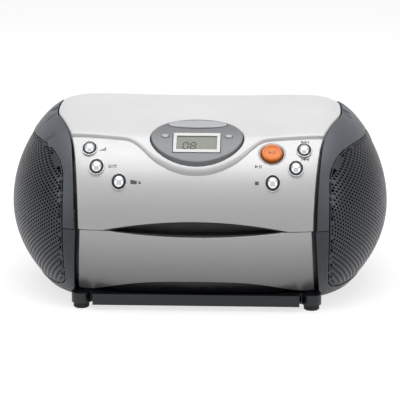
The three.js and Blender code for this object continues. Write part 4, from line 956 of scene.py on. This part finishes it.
# ---- display ----------------------------------------------------------------
LCD_Y = -79.3
DIGIT_LEAN, DIGIT_DROP = 0.12, 5.9
SEGMENTS = {
    "top": ((0.5, 6.6), (3.7, 6.6)), "middle": ((0.5, 3.3), (3.7, 3.3)), "bottom": ((0.5, 0.0), (3.7, 0.0)),
    "left_high": ((0.2, 3.6), (0.2, 6.3)), "left_low": ((0.2, 0.3), (0.2, 3.0)),
    "right_high": ((4.0, 3.6), (4.0, 6.3)), "right_low": ((4.0, 0.3), (4.0, 3.0)),
}


def segment(a, b, half=0.6):
    """A six-sided bar between two points."""
    a, b = np.array(a), np.array(b)
    along = (b - a) / np.linalg.norm(b - a)
    across = np.array([-along[1], along[0]]) * half
    near, far = a + along * half, b - along * half
    return [tuple(q) for q in (a, near - across, far - across, b, far + across, near + across)]


def display_digits():
    """Two leaning digits of plain bars behind the glass."""
    matrix = skin_frame(0, LCD_Y, -POD_PROUD)
    for name, left, unlit in (("display_digit_zero", -10.9, ["middle"]), ("display_digit_eight", -5.2, [])):
        shapes = [segment(*ends) for key, ends in SEGMENTS.items() if key not in unlit]
        leaned = [[(left + u + DIGIT_LEAN * v, v - DIGIT_DROP) for u, v in shape] for shape in shapes]
        mesh = slab_marks(name, matrix, leaned, 1.0, -0.45, -0.37)
        piece(name, mesh, BODY_OF["lcd_glass"], "segment")


display_digits()

# ---- rear screws ------------------------------------------------------------
SCREW_PLACES = ((-72, 86), (72, 86), (-97, 54), (97, 54))


def rear_screws():
    """Four pan-head screws in the flat rear face, each with a flat black cross on its head, painted shade for
    a cross recess.
    """
    head = [(AXIS_RADIUS, 0.02), (3.1, 0.02), (3.1, 0.2), (2.9, 0.55), (2.2, 0.85), (1.0, 0.98),
            (AXIS_RADIUS, 1.0)]
    arm, end = 0.28, 1.5
    plus = [(-arm, -end), (arm, -end), (arm, -arm), (end, -arm), (end, arm), (arm, arm), (arm, end),
            (-arm, end), (-arm, arm), (-end, arm), (-end, -arm), (-arm, -arm)]
    for k, (x, z) in enumerate(SCREW_PLACES, 1):
        matrix = Matrix.Translation((x, REAR_Y, z)) @ Matrix.Rotation(math.radians(-90), 4, "X")
        piece(f"rear_screw_{k}", lathe(f"rear_screw_{k}", head, matrix, (1, 1), 40, 50), "housing", "steel")
        # The black cross is painted shade standing for the recess.
        cross = slab_marks(f"rear_screw_{k}_cross", matrix, [plus], 1.0, 0.9, 1.03)
        piece(cross.name, cross, "housing", "black_plastic")


rear_screws()

# ---- round parts shaded round -----------------------------------------------
ROUND = {
    "handle": ("carry_handle", "black_plastic"), "volume_knob": ("volume_wheel", "black_plastic"),
    "tuning_knob": ("tuning_wheel", "black_plastic"), "base_plinth": ("plinth_base", "plinth_black"),
    "lid_release_button": ("lid_release_pad", "release_pale"), "lamp_left": ("lamp_lens_left", "lamp"),
    "lamp_right": ("lamp_lens_right", "lamp"), "lcd_frame": ("display_frame", "pale_frame"),
    "slot_insert": ("slot_liner", "black_plastic"), "front_chassis": ("front_subframe", "black_plastic"),
}
for i in range(1, 5):
    ROUND[f"foot_{i}"] = (f"rubber_foot_{i}", "rubber")
for side in ("left", "right"):
    ROUND[f"speaker_cone_{side}"] = (f"paper_cone_{side}", "cone_paper")
    ROUND[f"speaker_basket_{side}"] = (f"steel_basket_{side}", "steel")
for part in ("outer", "middle", "tip"):
    ROUND[f"antenna_tube_{part}"] = (f"aerial_tube_{part}", "chrome")
for node, (name, mat) in ROUND.items():
    smooth_copy(node, name, mat)

# ---- studio -----------------------------------------------------------------
def stage_mesh(name, points, faces, mat):
    """A piece of the studio, in metres, that is no part of the object."""
    mesh = bpy.data.meshes.new(name)
    mesh.from_pydata(points, [], faces)
    mesh.materials.append(mat)
    obj = bpy.data.objects.new(name, mesh)
    bpy.context.scene.collection.objects.link(obj)


def seen_directly(tree):
    """1 on camera, glossy and transmission rays, else 0."""
    path = tree.nodes.new("ShaderNodeLightPath")
    value = path.outputs["Is Camera Ray"]
    for other in ("Is Glossy Ray", "Is Transmission Ray"):
        best = tree.nodes.new("ShaderNodeMath")
        best.operation = "MAXIMUM"
        tree.links.new(value, best.inputs[0])
        tree.links.new(path.outputs[other], best.inputs[1])
        value = best.outputs[0]
    return value


def floor_material():
    """Pale and glowing where it is seen directly, and dim where it lights the object."""
    mat = bpy.data.materials.new("studio_floor")
    mat.use_nodes = True
    tree = mat.node_tree
    tree.nodes.clear()
    out = tree.nodes.new("ShaderNodeOutputMaterial")
    pale = tree.nodes.new("ShaderNodeBsdfDiffuse")
    pale.inputs["Color"].default_value = (0.5, 0.5, 0.5, 1)
    dim = tree.nodes.new("ShaderNodeBsdfDiffuse")
    dim.inputs["Color"].default_value = (0.12, 0.12, 0.125, 1)
    glow = tree.nodes.new("ShaderNodeEmission")
    glow.inputs["Strength"].default_value = 0.72
    both = tree.nodes.new("ShaderNodeAddShader")
    mix = tree.nodes.new("ShaderNodeMixShader")
    tree.links.new(pale.outputs[0], both.inputs[0])
    tree.links.new(glow.outputs[0], both.inputs[1])
    tree.links.new(seen_directly(tree), mix.inputs[0])
    tree.links.new(dim.outputs[0], mix.inputs[1])
    tree.links.new(both.outputs[0], mix.inputs[2])
    tree.links.new(mix.outputs[0], out.inputs["Surface"])
    return mat


def world():
    """A bright backdrop where it is seen directly, and a weaker even light for the object."""
    w = bpy.data.worlds.new("studio")
    bpy.context.scene.world = w
    w.use_nodes = True
    tree = w.node_tree
    tree.nodes.clear()
    out = tree.nodes.new("ShaderNodeOutputWorld")
    ambient = tree.nodes.new("ShaderNodeBackground")
    ambient.inputs["Strength"].default_value = 0.3
    backdrop = tree.nodes.new("ShaderNodeBackground")
    backdrop.inputs["Strength"].default_value = 1.0
    mix = tree.nodes.new("ShaderNodeMixShader")
    tree.links.new(seen_directly(tree), mix.inputs[0])
    tree.links.new(ambient.outputs[0], mix.inputs[1])
    tree.links.new(backdrop.outputs[0], mix.inputs[2])
    tree.links.new(mix.outputs[0], out.inputs["Surface"])


def softbox(name, place, aim, size, energy):
    """A rectangular light in metres, turned toward its aim."""
    data = bpy.data.lights.new(name, "AREA")
    data.shape = "RECTANGLE"
    data.size, data.size_y = size
    data.energy = energy
    obj = bpy.data.objects.new(name, data)
    bpy.context.scene.collection.objects.link(obj)
    obj.location = place
    obj.rotation_mode = "QUATERNION"
    obj.rotation_quaternion = (Vector(aim) - Vector(place)).to_track_quat("-Z", "Y")


FLOOR_HALF = 6.0
floor_corners = [(x * FLOOR_HALF, y * FLOOR_HALF, 0) for x, y in ((-1, -1), (1, -1), (1, 1), (-1, 1))]
stage_mesh("floor", floor_corners, [(0, 1, 2, 3)], floor_material())
world()
softbox("top_softbox", (0.0, -0.15, 1.5), (0, -0.02, 0.1), (1.6, 1.2), 16)
softbox("left_softbox", (-1.5, -0.9, 0.7), (0, 0, 0.07), (0.8, 1.0), 4)
softbox("right_softbox", (1.5, -0.9, 0.7), (0, 0, 0.07), (0.8, 1.0), 4)

# ---- camera -----------------------------------------------------------------
TARGET = Vector((0, -0.015, 0.0663))
AZIMUTH, ELEVATION, DISTANCE = math.radians(2.2), math.radians(15), 1.8
camera_data = bpy.data.cameras.new("camera")
camera_data.lens, camera_data.sensor_width = 202.0, 36.0
camera_data.clip_end = 50
camera = bpy.data.objects.new("camera", camera_data)
bpy.context.scene.collection.objects.link(camera)
back = Vector((math.sin(AZIMUTH) * math.cos(ELEVATION), -math.cos(AZIMUTH) * math.cos(ELEVATION),
               math.sin(ELEVATION)))
camera.location = TARGET + back * DISTANCE
camera.rotation_mode = "QUATERNION"
camera.rotation_quaternion = (-back).to_track_quat("-Z", "Y")
bpy.context.scene.camera = camera
bpy.context.scene.view_settings.view_transform = "Standard"

# ---- carried-over CAD nodes -------------------------------------------------
for node, obj in NODES.items():
    wanted = SLOT_OF.get(node, "black_plastic")
    for i in range(max(1, len(obj.material_slots))):
        if not obj.material_slots:
            obj.data.materials.append(None)
        obj.material_slots[i].material = MATS[wanted]
